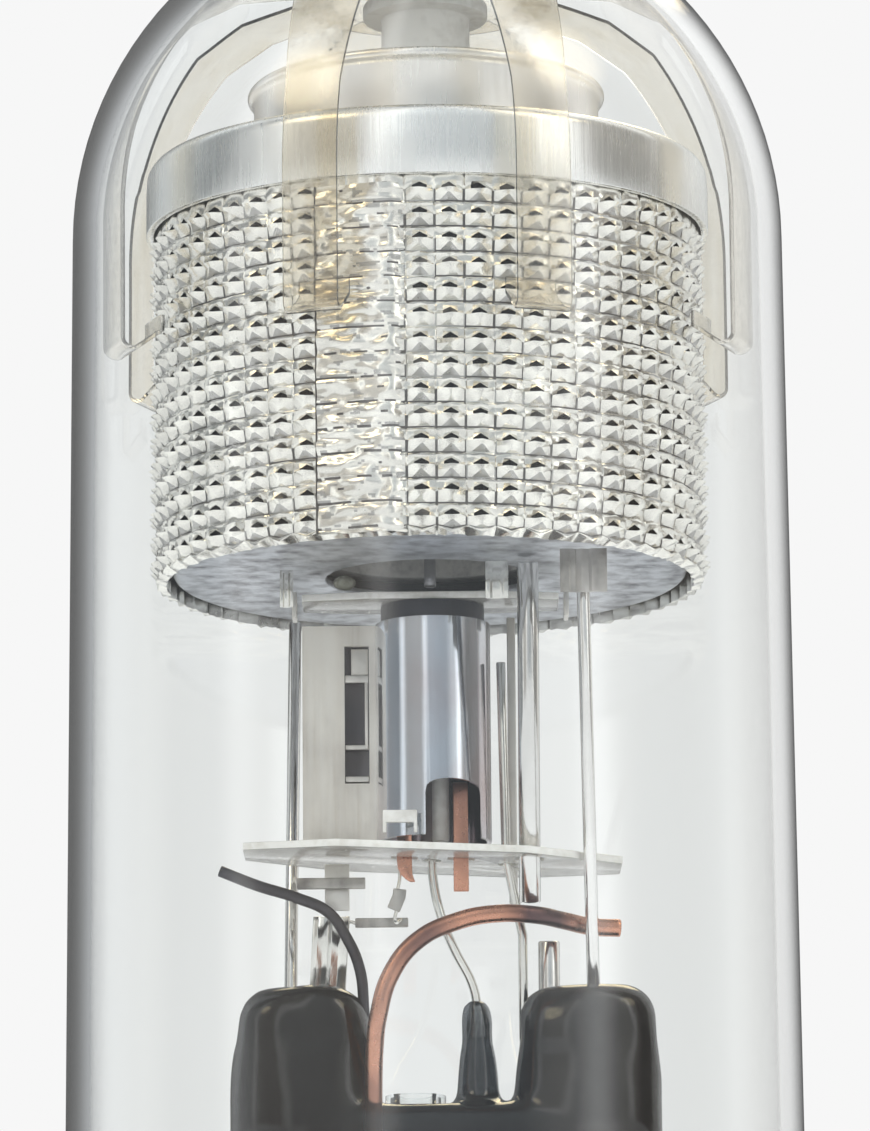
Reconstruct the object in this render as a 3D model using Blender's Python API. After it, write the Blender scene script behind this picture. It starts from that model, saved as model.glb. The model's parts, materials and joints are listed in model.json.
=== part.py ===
"""Gas-filled glass vacuum tube with an embossed can, standing on its four pins.

The frame is in metres with +Z up the tube's axis and the origin between the pin tips. The front
of the tube faces -Y. Heights run up in a chain: pins, base, stem, leads, reservoir, can, dome, cap.
"""

import math
from dataclasses import dataclass, field

import bmesh
import bpy
from mathutils import Matrix, Vector

MM = 0.001
FIT = 0.3 * MM

# Stock that several pieces are made of
GLASS_WALL = 1.2 * MM
SHEET = 0.4 * MM
THIN_SHEET = 0.25 * MM
MICA = 0.4 * MM
LEAF = 0.2 * MM

# Can: collar, embossed drum, upper can and floor
CAN_RADIUS = 15.15 * MM
EMBOSS_DEPTH = 0.55 * MM
DRUM_HEIGHT = 18.7 * MM
DRUM_HEM = 1.6 * MM
DRUM_COLUMNS = 60
DRUM_ROWS = 14
DRUM_TURN = math.radians(1.5)
PEAK_SHARE = 0.55
LAP_COLUMN = -4
LAP_COLUMNS = 2
LAP_CRUSH = 0.4
COLLAR_HEIGHT = 3.8 * MM
COLLAR_ROUND = 0.8 * MM
UPPER_CAN_RADIUS = 9.35 * MM
UPPER_CAN_HEIGHT = 4.5 * MM
UPPER_CAN_LIP = 0.35 * MM
UPPER_CAN_FLANGE = 1.2 * MM
FLOOR_RECESS = 0.4 * MM
FLOOR_SKIRT = 2.0 * MM
FLOOR_HOLE_RADIUS = 5.6 * MM

# Cathode with its heater and heat shield, grid baffle and anode inside the can
CATHODE_RADIUS = 6.4 * MM
CATHODE_HEIGHT = 10.0 * MM
CATHODE_LIFT = 0.6 * MM
SHIELD_ROOM = 1.8 * MM
SHIELD_HEADROOM = 2.4 * MM
SHIELD_FLANGE = 1.2 * MM
SHIELD_BRIM = 1.6 * MM
HEATER_WIRE = 0.35 * MM
HEATER_RADIUS = 3.2 * MM
HEATER_TURNS = 4
HEATER_PITCH = 1.6 * MM
HEATER_LEG_BEND = 1.2 * MM
BAFFLE_GAP = 1.4 * MM
BAFFLE_SKIRT = 1.6 * MM
BAFFLE_SLOT_COUNT = 6
BAFFLE_SLOT_LENGTH = 5.0 * MM
BAFFLE_SLOT_WIDTH = 1.6 * MM
ANODE_RADIUS = 7.2 * MM
ANODE_THICKNESS = 1.2 * MM
ANODE_SINK = 0.5 * MM
ANODE_CHAMFER = 0.4 * MM
ANODE_HUB_RADIUS = 2.4 * MM
ANODE_HUB_HEIGHT = 1.6 * MM
ANODE_LEAD_RADIUS = 1.0 * MM
SLEEVE_WALL = 1.1 * MM
SLEEVE_FLANGE = 1.0 * MM
SLEEVE_FLANGE_THICKNESS = 0.8 * MM

# Mica spring: a star of eight leaves that centres the can in the glass
SPRING_ROOM = 2.75 * MM
SPRING_LEAF_COUNT = 8
SPRING_CLEARANCE = 2.75 * MM
SPRING_HUB_RADIUS = 7.0 * MM
SPRING_DROP = 2.2 * MM
LEAF_WIDTH = 2.9 * MM
LEAF_ROOT_WIDTH = 4.2 * MM
LEAF_REACH = 7.5 * MM
HOOK_RADIUS = 0.5 * MM
HOOK_RISE = 1.1 * MM
HOOK_LAND = 0.8 * MM

# Reservoir with its wing, between two mica plates
UPPER_MICA_DROP = 0.8 * MM
UPPER_MICA_LENGTH = 13.6 * MM
UPPER_MICA_DEPTH = 4.4 * MM
UPPER_MICA_Y = -0.9 * MM
CLIP_WIDTH = 1.6 * MM
CLIP_RISE = 0.3 * MM
BEAD_RADIUS = 0.65 * MM
BEAD_FLATNESS = 0.6
RESERVOIR_RADIUS = 3.05 * MM
RESERVOIR_LENGTH = 11.7 * MM
RESERVOIR_GAP = 1.0 * MM
RESERVOIR_X = 0.1 * MM
RESERVOIR_Y = -0.6 * MM
WING_WIDTH = 4.0 * MM
WING_SLOT_WIDTH = 1.3 * MM
WING_SLOT_LENGTH = 7.4 * MM
WING_SLOT_DROP = 1.1 * MM
WING_SLOT_INSET = 1.0 * MM
NOTCH_WIDTH = 2.9 * MM
NOTCH_HEIGHT = 3.0 * MM
NOTCH_OFFSET = 1.0 * MM
CORE_RADIUS = 0.45 * MM
CORE_RISE = 0.4 * MM
FOOT_CLIP_WIDTH = 1.8 * MM
FOOT_CLIP_HEIGHT = 1.2 * MM
LOWER_MICA_LENGTH = 20.0 * MM
LOWER_MICA_DEPTH = 8.6 * MM
LOWER_MICA_END = 3.6 * MM
LOWER_MICA_Y = -0.5 * MM
LOWER_MICA_LEAN = math.radians(2.6)

# Rods, wires and strips
ROD_RADIUS = 0.34 * MM
ROD_INSET = 0.9 * MM
POST_RADIUS = 0.56 * MM
POST_INSET = 2.5 * MM
POST_LENGTH = 17.5 * MM
HEATER_ROD_RADIUS = 0.25 * MM
COPPER_RADIUS = 0.47 * MM
DARK_LEAD_RADIUS = 0.3 * MM
THIN_LEAD_RADIUS = 0.24 * MM
BASE_LEAD_RADIUS = 0.35 * MM
STRAP_WIDTH = 1.9 * MM
STRIP_WIDTH = 0.45 * MM
STRIP_GAP = 1.15 * MM
STRIP_LENGTH = 15.7 * MM
TAB_WIDTH = 0.8 * MM
TAB_DROP = 1.5 * MM
BRACKET_WIDTH = 2.4 * MM
BRACKET_HEIGHT = 2.3 * MM
BRACKET_LAP = 0.7 * MM
FLOOR_TAB_HEIGHT = 2.0 * MM
BAR_LENGTH = 3.6 * MM
BAR_HEIGHT = 0.6 * MM
LEAD_ROOM = 6.7 * MM
SOCKET_DEPTH = 3.0 * MM

# Glass stem with its press
STEM_HEIGHT = 43.0 * MM
STEM_RADIUS = 9.6 * MM
STEM_TUBE_HEIGHT = 17.2 * MM
FLARE_HEIGHT = 10.0 * MM
SQUEEZE_HEIGHT = 10.0 * MM
PRESS_HALF_WIDTH = 11.4 * MM
PRESS_HALF_DEPTH = 3.2 * MM
PRESS_ROUND = 0.8 * MM
PRESS_SHIFT = 0.6 * MM
LOBE_SPREAD = 7.5 * MM
LOBE_HALF_WIDTH = 3.9 * MM
LOBE_HEIGHT = 6.5 * MM
LOBE_SINK = 2.5 * MM
RIDGE_OFFSET = 1.7 * MM
RIDGE_DROP = 0.7 * MM
RIDGE_HALF_WIDTH = 1.1 * MM
RIDGE_HALF_DEPTH = 1.6 * MM
EXHAUST_RADIUS = 1.6 * MM
EXHAUST_BORE = 0.9 * MM
EXHAUST_OFFSET = -1.6 * MM
EXHAUST_CLEARANCE = 4.0 * MM
ENTRY_GAP = 1.3 * MM
ENTRY_PITCH = 1.7 * MM

# Bulb and cap
BULB_SWELL = 0.45 * MM
SHOULDER_LIFT = 1.0 * MM
SHOULDER_HEIGHT = 9.0 * MM
NECK_DEPTH = 9.0 * MM
NIPPLE_RADIUS = 3.4 * MM
NIPPLE_HEIGHT = 4.0 * MM
NIPPLE_ROUND = 0.8 * MM
CAP_RADIUS = 7.15 * MM
CAP_HEIGHT = 13.0 * MM
CAP_WALL = 0.5 * MM
CAP_ROUND = 1.2 * MM

# Base with its pins
BASE_RADIUS = 17.45 * MM
BASE_HEIGHT = 31.0 * MM
BASE_WALL = 0.6 * MM
BASE_LIP = 1.8 * MM
BASE_BEAD = 0.4 * MM
CEMENT_WALL = 1.0 * MM
CEMENT_DROP = 0.6 * MM
INSERT_THICKNESS = 4.5 * MM
PIN_LENGTH = 15.0 * MM
PIN_CIRCLE_RADIUS = 8.13 * MM
STOUT_PIN_RADIUS = 1.98 * MM
SLIM_PIN_RADIUS = 1.59 * MM
PIN_HEAD = 0.8 * MM
PIN_TIP_ROUND = 0.6 * MM
BAYONET_RADIUS = 1.15 * MM
BAYONET_LENGTH = 1.7 * MM
BAYONET_HEIGHT = 11.0 * MM
BAYONET_HEAD = 0.8 * MM
BAYONET_ROUND = 0.3 * MM
BAYONET_TURN = math.radians(40)

# Faces round a turned piece
FINE_SIDES = 28
PLAIN_SIDES = 24
COARSE_SIDES = 10
WIRE_SIDES = 6

# Heights along the axis
BASE_BOTTOM = PIN_LENGTH
BASE_TOP = BASE_BOTTOM + BASE_HEIGHT
INSERT_TOP = BASE_BOTTOM + INSERT_THICKNESS
EXHAUST_TIP = INSERT_TOP + EXHAUST_CLEARANCE
SEAL = BASE_TOP - NECK_DEPTH
TUBE_TOP = SEAL + STEM_TUBE_HEIGHT
STEM_ROOF = TUBE_TOP + 0.8 * SQUEEZE_HEIGHT
PRESS_TOP = SEAL + STEM_HEIGHT
PRESS_FLOOR = PRESS_TOP - LOBE_HEIGHT
SUNK = PRESS_TOP - SOCKET_DEPTH
LOWER_MICA_Z = PRESS_TOP + LEAD_ROOM
LOWER_MICA_UNDER = LOWER_MICA_Z - MICA / 2 - FIT
WING_REACH = RESERVOIR_RADIUS + WING_WIDTH
RESERVOIR_BOTTOM = LOWER_MICA_Z + MICA / 2 + FIT + WING_REACH * math.tan(LOWER_MICA_LEAN)
RESERVOIR_TOP = RESERVOIR_BOTTOM + RESERVOIR_LENGTH
UPPER_MICA_Z = RESERVOIR_TOP + RESERVOIR_GAP + MICA / 2
UPPER_MICA_TOP = UPPER_MICA_Z + MICA / 2
CAN_BOTTOM = UPPER_MICA_TOP + UPPER_MICA_DROP
FLOOR_UNDER = CAN_BOTTOM + FLOOR_RECESS
FLOOR_TOP = FLOOR_UNDER + SHEET
SHIELD_FOOT = FLOOR_TOP + FIT
CATHODE_TOP = SHIELD_FOOT + CATHODE_LIFT + CATHODE_HEIGHT
SHIELD_TOP = CATHODE_TOP + SHIELD_HEADROOM
BAFFLE_Z = SHIELD_TOP + BAFFLE_GAP
COLLAR_BOTTOM = CAN_BOTTOM + DRUM_HEIGHT + FIT
CAN_TOP = COLLAR_BOTTOM + COLLAR_HEIGHT
ANODE_Z = CAN_TOP - ANODE_SINK
ANODE_TOP = ANODE_Z + ANODE_THICKNESS
UPPER_CAN_TOP = CAN_TOP + UPPER_CAN_HEIGHT
DOME_Z = COLLAR_BOTTOM

# Radii and places that follow from the driving ones
DRUM_OUTER = CAN_RADIUS - SHEET - FIT
DRUM_INNER = DRUM_OUTER - SHEET
FLOOR_EDGE = DRUM_INNER - FIT
SHIELD_RADIUS = CATHODE_RADIUS + SHIELD_ROOM
BULB_INNER = CAN_RADIUS + SPRING_ROOM
BULB_RADIUS = BULB_INNER + GLASS_WALL
BASE_INNER = BASE_RADIUS - BASE_WALL
NECK_RADIUS = BASE_INNER - CEMENT_WALL - 2 * FIT
FLARE_RADIUS = NECK_RADIUS - GLASS_WALL - FIT
SLEEVE_BORE = ANODE_LEAD_RADIUS + FIT
SLEEVE_RADIUS = SLEEVE_BORE + SLEEVE_WALL
SPRING_Z = DOME_Z + math.sqrt(BULB_INNER**2 - SPRING_HUB_RADIUS**2) - SPRING_CLEARANCE
APEX = DOME_Z + BULB_RADIUS
NIPPLE_TOP = APEX + NIPPLE_HEIGHT
CAP_BOTTOM = DOME_Z + math.sqrt(BULB_RADIUS**2 - CAP_RADIUS**2) + FIT
CAP_TOP = CAP_BOTTOM + CAP_HEIGHT
LEFT_LOBE_X = PRESS_SHIFT - LOBE_SPREAD
RIGHT_LOBE_X = PRESS_SHIFT + LOBE_SPREAD
RIDGE_X = PRESS_SHIFT + RIDGE_OFFSET
EXHAUST_X = PRESS_SHIFT + EXHAUST_OFFSET
RESERVOIR_RIGHT = RESERVOIR_X + RESERVOIR_RADIUS
RESERVOIR_LEFT = RESERVOIR_X - RESERVOIR_RADIUS
TAB_X = RESERVOIR_X - 0.52 * RESERVOIR_RADIUS
TAB_Y = RESERVOIR_Y - 0.33 * RESERVOIR_RADIUS


def finish(name, colour, metallic=0.0, roughness=0.4, transmission=0.0):
    """Principled material for one kind of surface."""
    material = bpy.data.materials.new(name)
    material.use_nodes = True
    shader = material.node_tree.nodes["Principled BSDF"]
    shader.inputs["Base Color"].default_value = (*colour, 1.0)
    shader.inputs["Metallic"].default_value = metallic
    shader.inputs["Roughness"].default_value = roughness
    shader.inputs["Transmission Weight"].default_value = transmission
    material.diffuse_color = (*colour, 1.0)
    return material


def solid(name, bm, material):
    """Object from a mesh under construction, smooth with sharp creases."""
    bmesh.ops.remove_doubles(bm, verts=bm.verts, dist=1e-7)
    bmesh.ops.recalc_face_normals(bm, faces=bm.faces)
    mesh = bpy.data.meshes.new(name)
    bm.to_mesh(mesh)
    bm.free()
    mesh.shade_smooth()
    mesh.set_sharp_from_angle(angle=math.radians(35))
    if material:
        mesh.materials.append(material)
    made = bpy.data.objects.new(name, mesh)
    bpy.context.collection.objects.link(made)
    return made


def combine(body, name, bm, operation):
    """Cut a shape out of a body, or join it on, with a live Boolean."""
    tool = solid(name, bm, None)
    tool.hide_render = True
    tool.display_type = "WIRE"
    modifier = body.modifiers.new(name, "BOOLEAN")
    modifier.operation = operation
    modifier.solver = "EXACT"
    modifier.object = tool


def moved(bm, place):
    """The same mesh at another place."""
    bmesh.ops.translate(bm, verts=bm.verts, vec=place)
    return bm


def arc(centre, radius, start, end, steps):
    """Points on an arc in the profile plane, angles in degrees from outwards."""
    turns = [math.radians(start + (end - start) * k / steps) for k in range(steps + 1)]
    return [(centre[0] + radius * math.cos(t), centre[1] + radius * math.sin(t)) for t in turns]


def front(radius, turn):
    """Point on a circle, turned from the front (-Y) towards +X."""
    return Vector((radius * math.sin(turn), -radius * math.cos(turn), 0))


def revolve(profile, segments):
    """Closed outline of (radius, height) points turned round the Z axis."""
    bm = bmesh.new()
    turns = [2 * math.pi * k / segments for k in range(segments)]
    rings = []
    for radius, height in profile:
        if radius < 1e-9:
            rings.append([bm.verts.new((0, 0, height))] * segments)
        else:
            points = [(radius * math.cos(t), radius * math.sin(t), height) for t in turns]
            rings.append([bm.verts.new(point) for point in points])
    for ring, after in zip(rings, rings[1:] + rings[:1]):
        for k in range(segments):
            n = (k + 1) % segments
            corners = list(dict.fromkeys((ring[k], ring[n], after[n], after[k])))
            if len(corners) > 2:
                bm.faces.new(corners)
    return bm


def loft(rings):
    """Rings of points with as many each, skinned in order and closed at both ends."""
    bm = bmesh.new()
    rows = [[bm.verts.new(point) for point in ring] for ring in rings]
    for row, after in zip(rows, rows[1:]):
        for k in range(len(row)):
            n = (k + 1) % len(row)
            bm.faces.new((row[k], row[n], after[n], after[k]))
    bm.faces.new(rows[0])
    bm.faces.new(rows[-1])
    return bm


def plate(outline, bottom, thickness):
    """Flat plate of an (x, y) outline."""
    return loft([[(x, y, z) for x, y in outline] for z in (bottom, bottom + thickness)])


def block(low, high):
    """Box between two corners."""
    outline = [(low[0], low[1]), (high[0], low[1]), (high[0], high[1]), (low[0], high[1])]
    return plate(outline, low[2], high[2] - low[2])


def rod(radius, bottom, top, segments=COARSE_SIDES):
    """Upright cylinder on the axis."""
    return revolve([(0, bottom), (radius, bottom), (radius, top), (0, top)], segments)


def strip(centre, width, bottom, top):
    """Upright strip of thin sheet that faces the front."""
    low = (centre[0] - width / 2, centre[1] - THIN_SHEET / 2, bottom)
    return block(low, (centre[0] + width / 2, centre[1] + THIN_SHEET / 2, top))


def round_section(radius, sides):
    """Corners of a wire's round section."""
    turns = [2 * math.pi * (k + 0.5) / sides for k in range(sides)]
    return [(radius * math.cos(t), radius * math.sin(t)) for t in turns]


def flat_section(width, thickness):
    """Corners of a ribbon's section."""
    w, t = width / 2, thickness / 2
    return [(-w, -t), (w, -t), (w, t), (-w, t)]


def sweep(path, section, side=Vector((1, 0, 0))):
    """Section drawn along a path of points, with flat ends."""
    rings = []
    for k, point in enumerate(path):
        ahead = (path[min(k + 1, len(path) - 1)] - path[max(k - 1, 0)]).normalized()
        side = (side - ahead * side.dot(ahead)).normalized()
        up = ahead.cross(side)
        rings.append([point + side * u + up * v for u, v in section])
    return loft(rings)


def smoothed(points, steps):
    """Catmull-Rom curve through the points of a bent wire."""
    ends = [2 * points[0] - points[1], *points, 2 * points[-1] - points[-2]]
    path = []
    for a, b, c, d in zip(ends, ends[1:], ends[2:], ends[3:]):
        for k in range(steps):
            t = k / steps
            bend = (2 * a - 5 * b + 4 * c - d) * t**2 + (3 * b - a - 3 * c + d) * t**3
            path.append(0.5 * (2 * b + (c - a) * t + bend))
    return [*path, points[-1]]


@dataclass
class Lead:
    """Wire or ribbon whose holes come from the same path as itself."""

    name: str
    path: list
    section: tuple
    material: object
    side: Vector = field(default_factory=lambda: Vector((1, 0, 0)))

    def outline(self, spare=0.0):
        """Section's corners, grown by a clearance on every side."""
        if len(self.section) == 1:
            return round_section(self.section[0] + spare, WIRE_SIDES)
        return flat_section(self.section[0] + 2 * spare, self.section[1] + 2 * spare)

    def build(self):
        """The wire itself."""
        return solid(self.name, sweep(self.path, self.outline(), self.side), self.material)

    def crossing(self, height):
        """Place and direction of the lead where it passes a height."""
        for a, b in zip(self.path, self.path[1:]):
            if min(a.z, b.z) <= height <= max(a.z, b.z) and a.z != b.z:
                return a.lerp(b, (height - a.z) / (b.z - a.z)), (b - a).normalized()
        raise ValueError(f"{self.name} doesn't cross {height}")

    def passage(self, height, length):
        """Clearance hole along the lead where it crosses a height."""
        spot, ahead = self.crossing(height)
        reach = ahead * (length / 2)
        return sweep([spot - reach, spot + reach], self.outline(FIT), self.side)

    def socket(self, length):
        """Clearance hole round the lead's last stretch and past its end."""
        end = self.path[-1]
        ahead = (end - self.path[-2]).normalized()
        return sweep([end - ahead * length, end + ahead * FIT], self.outline(FIT), self.side)


def make_finishes():
    """Every material of the tube."""
    return {
        "glass": finish("clear_glass", (0.86, 0.88, 0.87), 0.0, 0.03, 1.0),
        "stem": finish("stem_glass", (0.30, 0.31, 0.32), 0.0, 0.05, 0.8),
        "nickel": finish("bright_nickel", (0.80, 0.79, 0.77), 1.0, 0.22),
        "band": finish("drawn_nickel", (0.74, 0.74, 0.74), 1.0, 0.28),
        "steel": finish("polished_steel", (0.62, 0.65, 0.70), 1.0, 0.15),
        "wire": finish("nickel_wire", (0.72, 0.70, 0.66), 1.0, 0.25),
        "dark": finish("oxidised_wire", (0.06, 0.06, 0.07), 0.8, 0.45),
        "copper": finish("copper", (0.72, 0.34, 0.21), 1.0, 0.30),
        "mica": finish("mica", (0.78, 0.74, 0.66), 0.0, 0.12, 0.6),
        "ceramic": finish("white_ceramic", (0.90, 0.89, 0.86), 0.0, 0.45),
        "cathode": finish("oxide_cathode", (0.55, 0.54, 0.52), 0.2, 0.70),
        "tungsten": finish("tungsten", (0.35, 0.35, 0.37), 1.0, 0.35),
        "phenolic": finish("phenolic", (0.05, 0.03, 0.02), 0.0, 0.35),
        "cement": finish("cement", (0.62, 0.58, 0.50), 0.0, 0.85),
        "plated": finish("plated_brass", (0.70, 0.68, 0.62), 1.0, 0.28),
        "brass": finish("brass", (0.72, 0.56, 0.28), 1.0, 0.30),
    }


def pin_places():
    """Name, place and radius of each base pin, the two stout ones first."""
    radii = (STOUT_PIN_RADIUS, STOUT_PIN_RADIUS, SLIM_PIN_RADIUS, SLIM_PIN_RADIUS)
    quarter = math.pi / 2
    return [
        (f"pin_{k + 1}", front(PIN_CIRCLE_RADIUS, (k + 0.5) * quarter), radius)
        for k, radius in enumerate(radii)
    ]


def make_pins(finishes):
    """Turned pins, headed above the insert and bored for their leads."""
    head = INSERT_TOP + FIT
    bore = BASE_LEAD_RADIUS + FIT
    for name, place, radius in pin_places():
        profile = [(0, 0), (radius - PIN_TIP_ROUND, 0), (radius, PIN_TIP_ROUND), (radius, head)]
        profile += [(radius + PIN_HEAD, head), (radius + PIN_HEAD, head + PIN_HEAD), (bore, head + PIN_HEAD)]
        profile += [(bore, PIN_LENGTH), (0, PIN_LENGTH)]
        solid(name, moved(revolve(profile, COARSE_SIDES), place), finishes["brass"])


def make_base(finishes):
    """Rolled metal shell of the base, drilled for its bayonet pin."""
    lip = BASE_RADIUS - BASE_LIP
    shell = [(lip, BASE_BOTTOM), (BASE_INNER, BASE_BOTTOM), (BASE_RADIUS, BASE_BOTTOM + BASE_WALL)]
    shell += [(BASE_RADIUS, BASE_TOP - 3.5 * BASE_BEAD), (BASE_RADIUS + BASE_BEAD, BASE_TOP - 2 * BASE_BEAD)]
    shell += [(BASE_RADIUS, BASE_TOP), (BASE_INNER, BASE_TOP)]
    shell += [(BASE_INNER, BASE_BOTTOM + BASE_WALL), (lip, BASE_BOTTOM + BASE_WALL)]
    base = solid("base_shell", revolve(shell, FINE_SIDES), finishes["plated"])
    out = front(1.0, BAYONET_TURN)
    middle = out * (BASE_INNER + BASE_WALL / 2) + Vector((0, 0, BASE_BOTTOM + BAYONET_HEIGHT))
    section = round_section(BAYONET_RADIUS - FIT, COARSE_SIDES)
    hole = sweep([middle - out * BASE_WALL, middle + out * BASE_WALL], section, Vector((0, 0, 1)))
    combine(base, "bayonet_hole", hole, "DIFFERENCE")


def make_bayonet_pin(finishes):
    """Rivet through the shell's wall whose outer end locks in a socket."""
    shank = BAYONET_RADIUS - 2 * FIT
    inner_face, outer_face = BASE_INNER - FIT, BASE_RADIUS + FIT
    end = BASE_RADIUS + BAYONET_LENGTH
    profile = [(0, inner_face - BAYONET_HEAD), (BAYONET_RADIUS, inner_face - BAYONET_HEAD)]
    profile += [(BAYONET_RADIUS, inner_face), (shank, inner_face), (shank, outer_face)]
    profile += [(BAYONET_RADIUS, outer_face), (BAYONET_RADIUS, end - BAYONET_ROUND)]
    profile += [(BAYONET_RADIUS - BAYONET_ROUND, end), (0, end)]
    rivet = revolve(profile, COARSE_SIDES)
    turn = Vector((0, 0, 1)).rotation_difference(front(1.0, BAYONET_TURN)).to_matrix().to_4x4()
    place = Matrix.Translation((0, 0, BASE_BOTTOM + BAYONET_HEIGHT)) @ turn
    bmesh.ops.transform(rivet, matrix=place, verts=rivet.verts)
    solid("bayonet_pin", rivet, finishes["brass"])


def make_insert(finishes):
    """Insulating disc that the pins are riveted through."""
    disc = rod(BASE_INNER - FIT, BASE_BOTTOM + BASE_WALL + FIT, INSERT_TOP, PLAIN_SIDES)
    insert = solid("base_insert", disc, finishes["phenolic"])
    for name, place, radius in pin_places():
        hole = rod(radius + FIT, BASE_BOTTOM, INSERT_TOP + FIT)
        combine(insert, f"{name}_hole", moved(hole, place), "DIFFERENCE")


def make_base_cement(finishes):
    """Ring of cement between the bulb's neck and the shell."""
    inner, outer = NECK_RADIUS + FIT, BASE_INNER - FIT
    top = BASE_TOP - CEMENT_DROP
    ring = [(inner, SEAL), (outer, SEAL), (outer, top), (inner, top + CEMENT_DROP / 2)]
    solid("base_cement", revolve(ring, PLAIN_SIDES), finishes["cement"])


def oval(half_width, half_depth, height, shift, corners, power):
    """Ring of a rounded oblong, the stem's section."""
    ring = []
    for k in range(corners):
        turn = 2 * math.pi * k / corners
        c, s = math.cos(turn), math.sin(turn)
        x = half_width * math.copysign(abs(c) ** (2 / power), c)
        y = half_depth * math.copysign(abs(s) ** (2 / power), s)
        ring.append((x + shift, y, height))
    return ring


def stem_levels():
    """Height, half width, half depth, sideways share and squareness up the stem's outside."""
    rim, narrow = 0.9 * FLARE_RADIUS + 0.1 * STEM_RADIUS, (FLARE_RADIUS + STEM_RADIUS) / 2
    squeezed = (STEM_RADIUS + PRESS_HALF_WIDTH) / 2, (2 * STEM_RADIUS + PRESS_HALF_DEPTH) / 3
    width, depth = PRESS_HALF_WIDTH, PRESS_HALF_DEPTH
    return [
        (SEAL, FLARE_RADIUS, FLARE_RADIUS, 0.0, 2.0),
        (SEAL + 0.25 * FLARE_HEIGHT, rim, rim, 0.0, 2.0),
        (SEAL + 0.6 * FLARE_HEIGHT, narrow, narrow, 0.0, 2.0),
        (SEAL + FLARE_HEIGHT, STEM_RADIUS, STEM_RADIUS, 0.0, 2.0),
        (TUBE_TOP, STEM_RADIUS, STEM_RADIUS, 0.0, 2.0),
        (TUBE_TOP + 0.5 * SQUEEZE_HEIGHT, *squeezed, 0.3, 2.2),
        (TUBE_TOP + SQUEEZE_HEIGHT, width, depth + PRESS_ROUND / 2, 0.8, 2.6),
        (PRESS_FLOOR - PRESS_ROUND, width, depth, 1.0, 2.8),
        (PRESS_FLOOR, width - PRESS_ROUND, depth - PRESS_ROUND, 1.0, 2.8),
    ]


def stem_body():
    """Flared tube that is squeezed flat into the press, open at the bottom."""
    levels = stem_levels()
    outer = [oval(a, b, z, PRESS_SHIFT * share, 20, power) for z, a, b, share, power in levels]
    inner = []
    for z, a, b, share, power in levels[:6]:
        inner.append(oval(a - GLASS_WALL, b - GLASS_WALL, z, PRESS_SHIFT * share, 20, power))
    roof = 0.6 * PRESS_HALF_WIDTH, 0.4 * PRESS_HALF_DEPTH
    inner.append(oval(*roof, STEM_ROOF, PRESS_SHIFT / 2, 20, 2.2))
    return loft(inner[::-1] + outer)


def lobe(x, half_width, half_depth, top):
    """Rounded post of glass on the press, sunk into the stem's body."""
    bottom = PRESS_FLOOR - LOBE_SINK
    rings = []
    for share, scale in ((0.0, 0.96), (0.55, 1.0), (0.8, 0.94), (0.93, 0.78), (1.0, 0.5)):
        height = bottom + (top - bottom) * share
        rings.append(oval(half_width * scale, half_depth * scale, height, x, 12, 2.2))
    return loft(rings)


def make_stem(finishes, leads, base_leads):
    """Glass stem with two lobes and a ridge, drilled for its wires and exhaust tube."""
    stem = solid("stem_glass", stem_body(), finishes["stem"])
    for x, name in ((LEFT_LOBE_X, "left_lobe"), (RIGHT_LOBE_X, "right_lobe")):
        combine(stem, name, lobe(x, LOBE_HALF_WIDTH, PRESS_HALF_DEPTH, PRESS_TOP), "UNION")
    ridge = lobe(RIDGE_X, RIDGE_HALF_WIDTH, RIDGE_HALF_DEPTH, PRESS_TOP - RIDGE_DROP)
    combine(stem, "ridge", ridge, "UNION")
    for lead in leads:
        combine(stem, f"{lead.name}_hole", lead.socket(SOCKET_DEPTH + LOBE_SINK), "DIFFERENCE")
    for lead in base_leads:
        combine(stem, f"{lead.name}_hole", lead.socket(SOCKET_DEPTH), "DIFFERENCE")
    bore = rod(EXHAUST_RADIUS + FIT, TUBE_TOP, PRESS_TOP)
    combine(stem, "exhaust_hole", moved(bore, (EXHAUST_X, 0, 0)), "DIFFERENCE")


def make_exhaust_tube(finishes):
    """Tube through which the bulb was pumped, tipped off inside the base."""
    radius, bore = EXHAUST_RADIUS, EXHAUST_BORE
    top = PRESS_FLOOR + 2 * FIT
    tip = EXHAUST_TIP
    profile = [(0, tip), (radius * 0.55, tip + radius * 0.4), (radius, tip + radius * 1.5), (radius, top)]
    profile += [(bore, top), (bore, tip + radius * 2), (0, tip + radius * 1.4)]
    solid("exhaust_tube", moved(revolve(profile, COARSE_SIDES), (EXHAUST_X, 0, 0)), finishes["glass"])


def base_leads(finishes):
    """Wires from the press down through the flare into the pins."""
    near = EXHAUST_RADIUS + ENTRY_GAP
    far = near + ENTRY_PITCH
    entries = (EXHAUST_X - far, EXHAUST_X - near, EXHAUST_X + near, EXHAUST_X + far)
    pins = pin_places()
    leads = []
    for number, (x, pin) in enumerate(zip(entries, (3, 2, 0, 1)), 1):
        place = pins[pin][1]
        y = math.copysign(EXHAUST_RADIUS + 2 * FIT, place.y)
        points = [place + Vector((0, 0, height)) for height in (PIN_LENGTH + FIT, INSERT_TOP + 2 * PIN_HEAD)]
        points += [Vector((x, y, SEAL + FLARE_HEIGHT)), Vector((x, 0, STEM_ROOF - SOCKET_DEPTH))]
        points.append(Vector((x, 0, STEM_ROOF + SOCKET_DEPTH - FIT)))
        leads.append(Lead(f"base_lead_{number}", points, (BASE_LEAD_RADIUS,), finishes["wire"]))
    return leads


def above_press(share):
    """Height between the press (0) and the lower mica (1)."""
    return PRESS_TOP + LEAD_ROOM * share


def left(share):
    """X in the left lobe, from its left edge (-1) to its right edge (1)."""
    return LEFT_LOBE_X + LOBE_HALF_WIDTH * share


def right(share):
    """X in the right lobe, from its left edge (-1) to its right edge (1)."""
    return RIGHT_LOBE_X + LOBE_HALF_WIDTH * share


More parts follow.
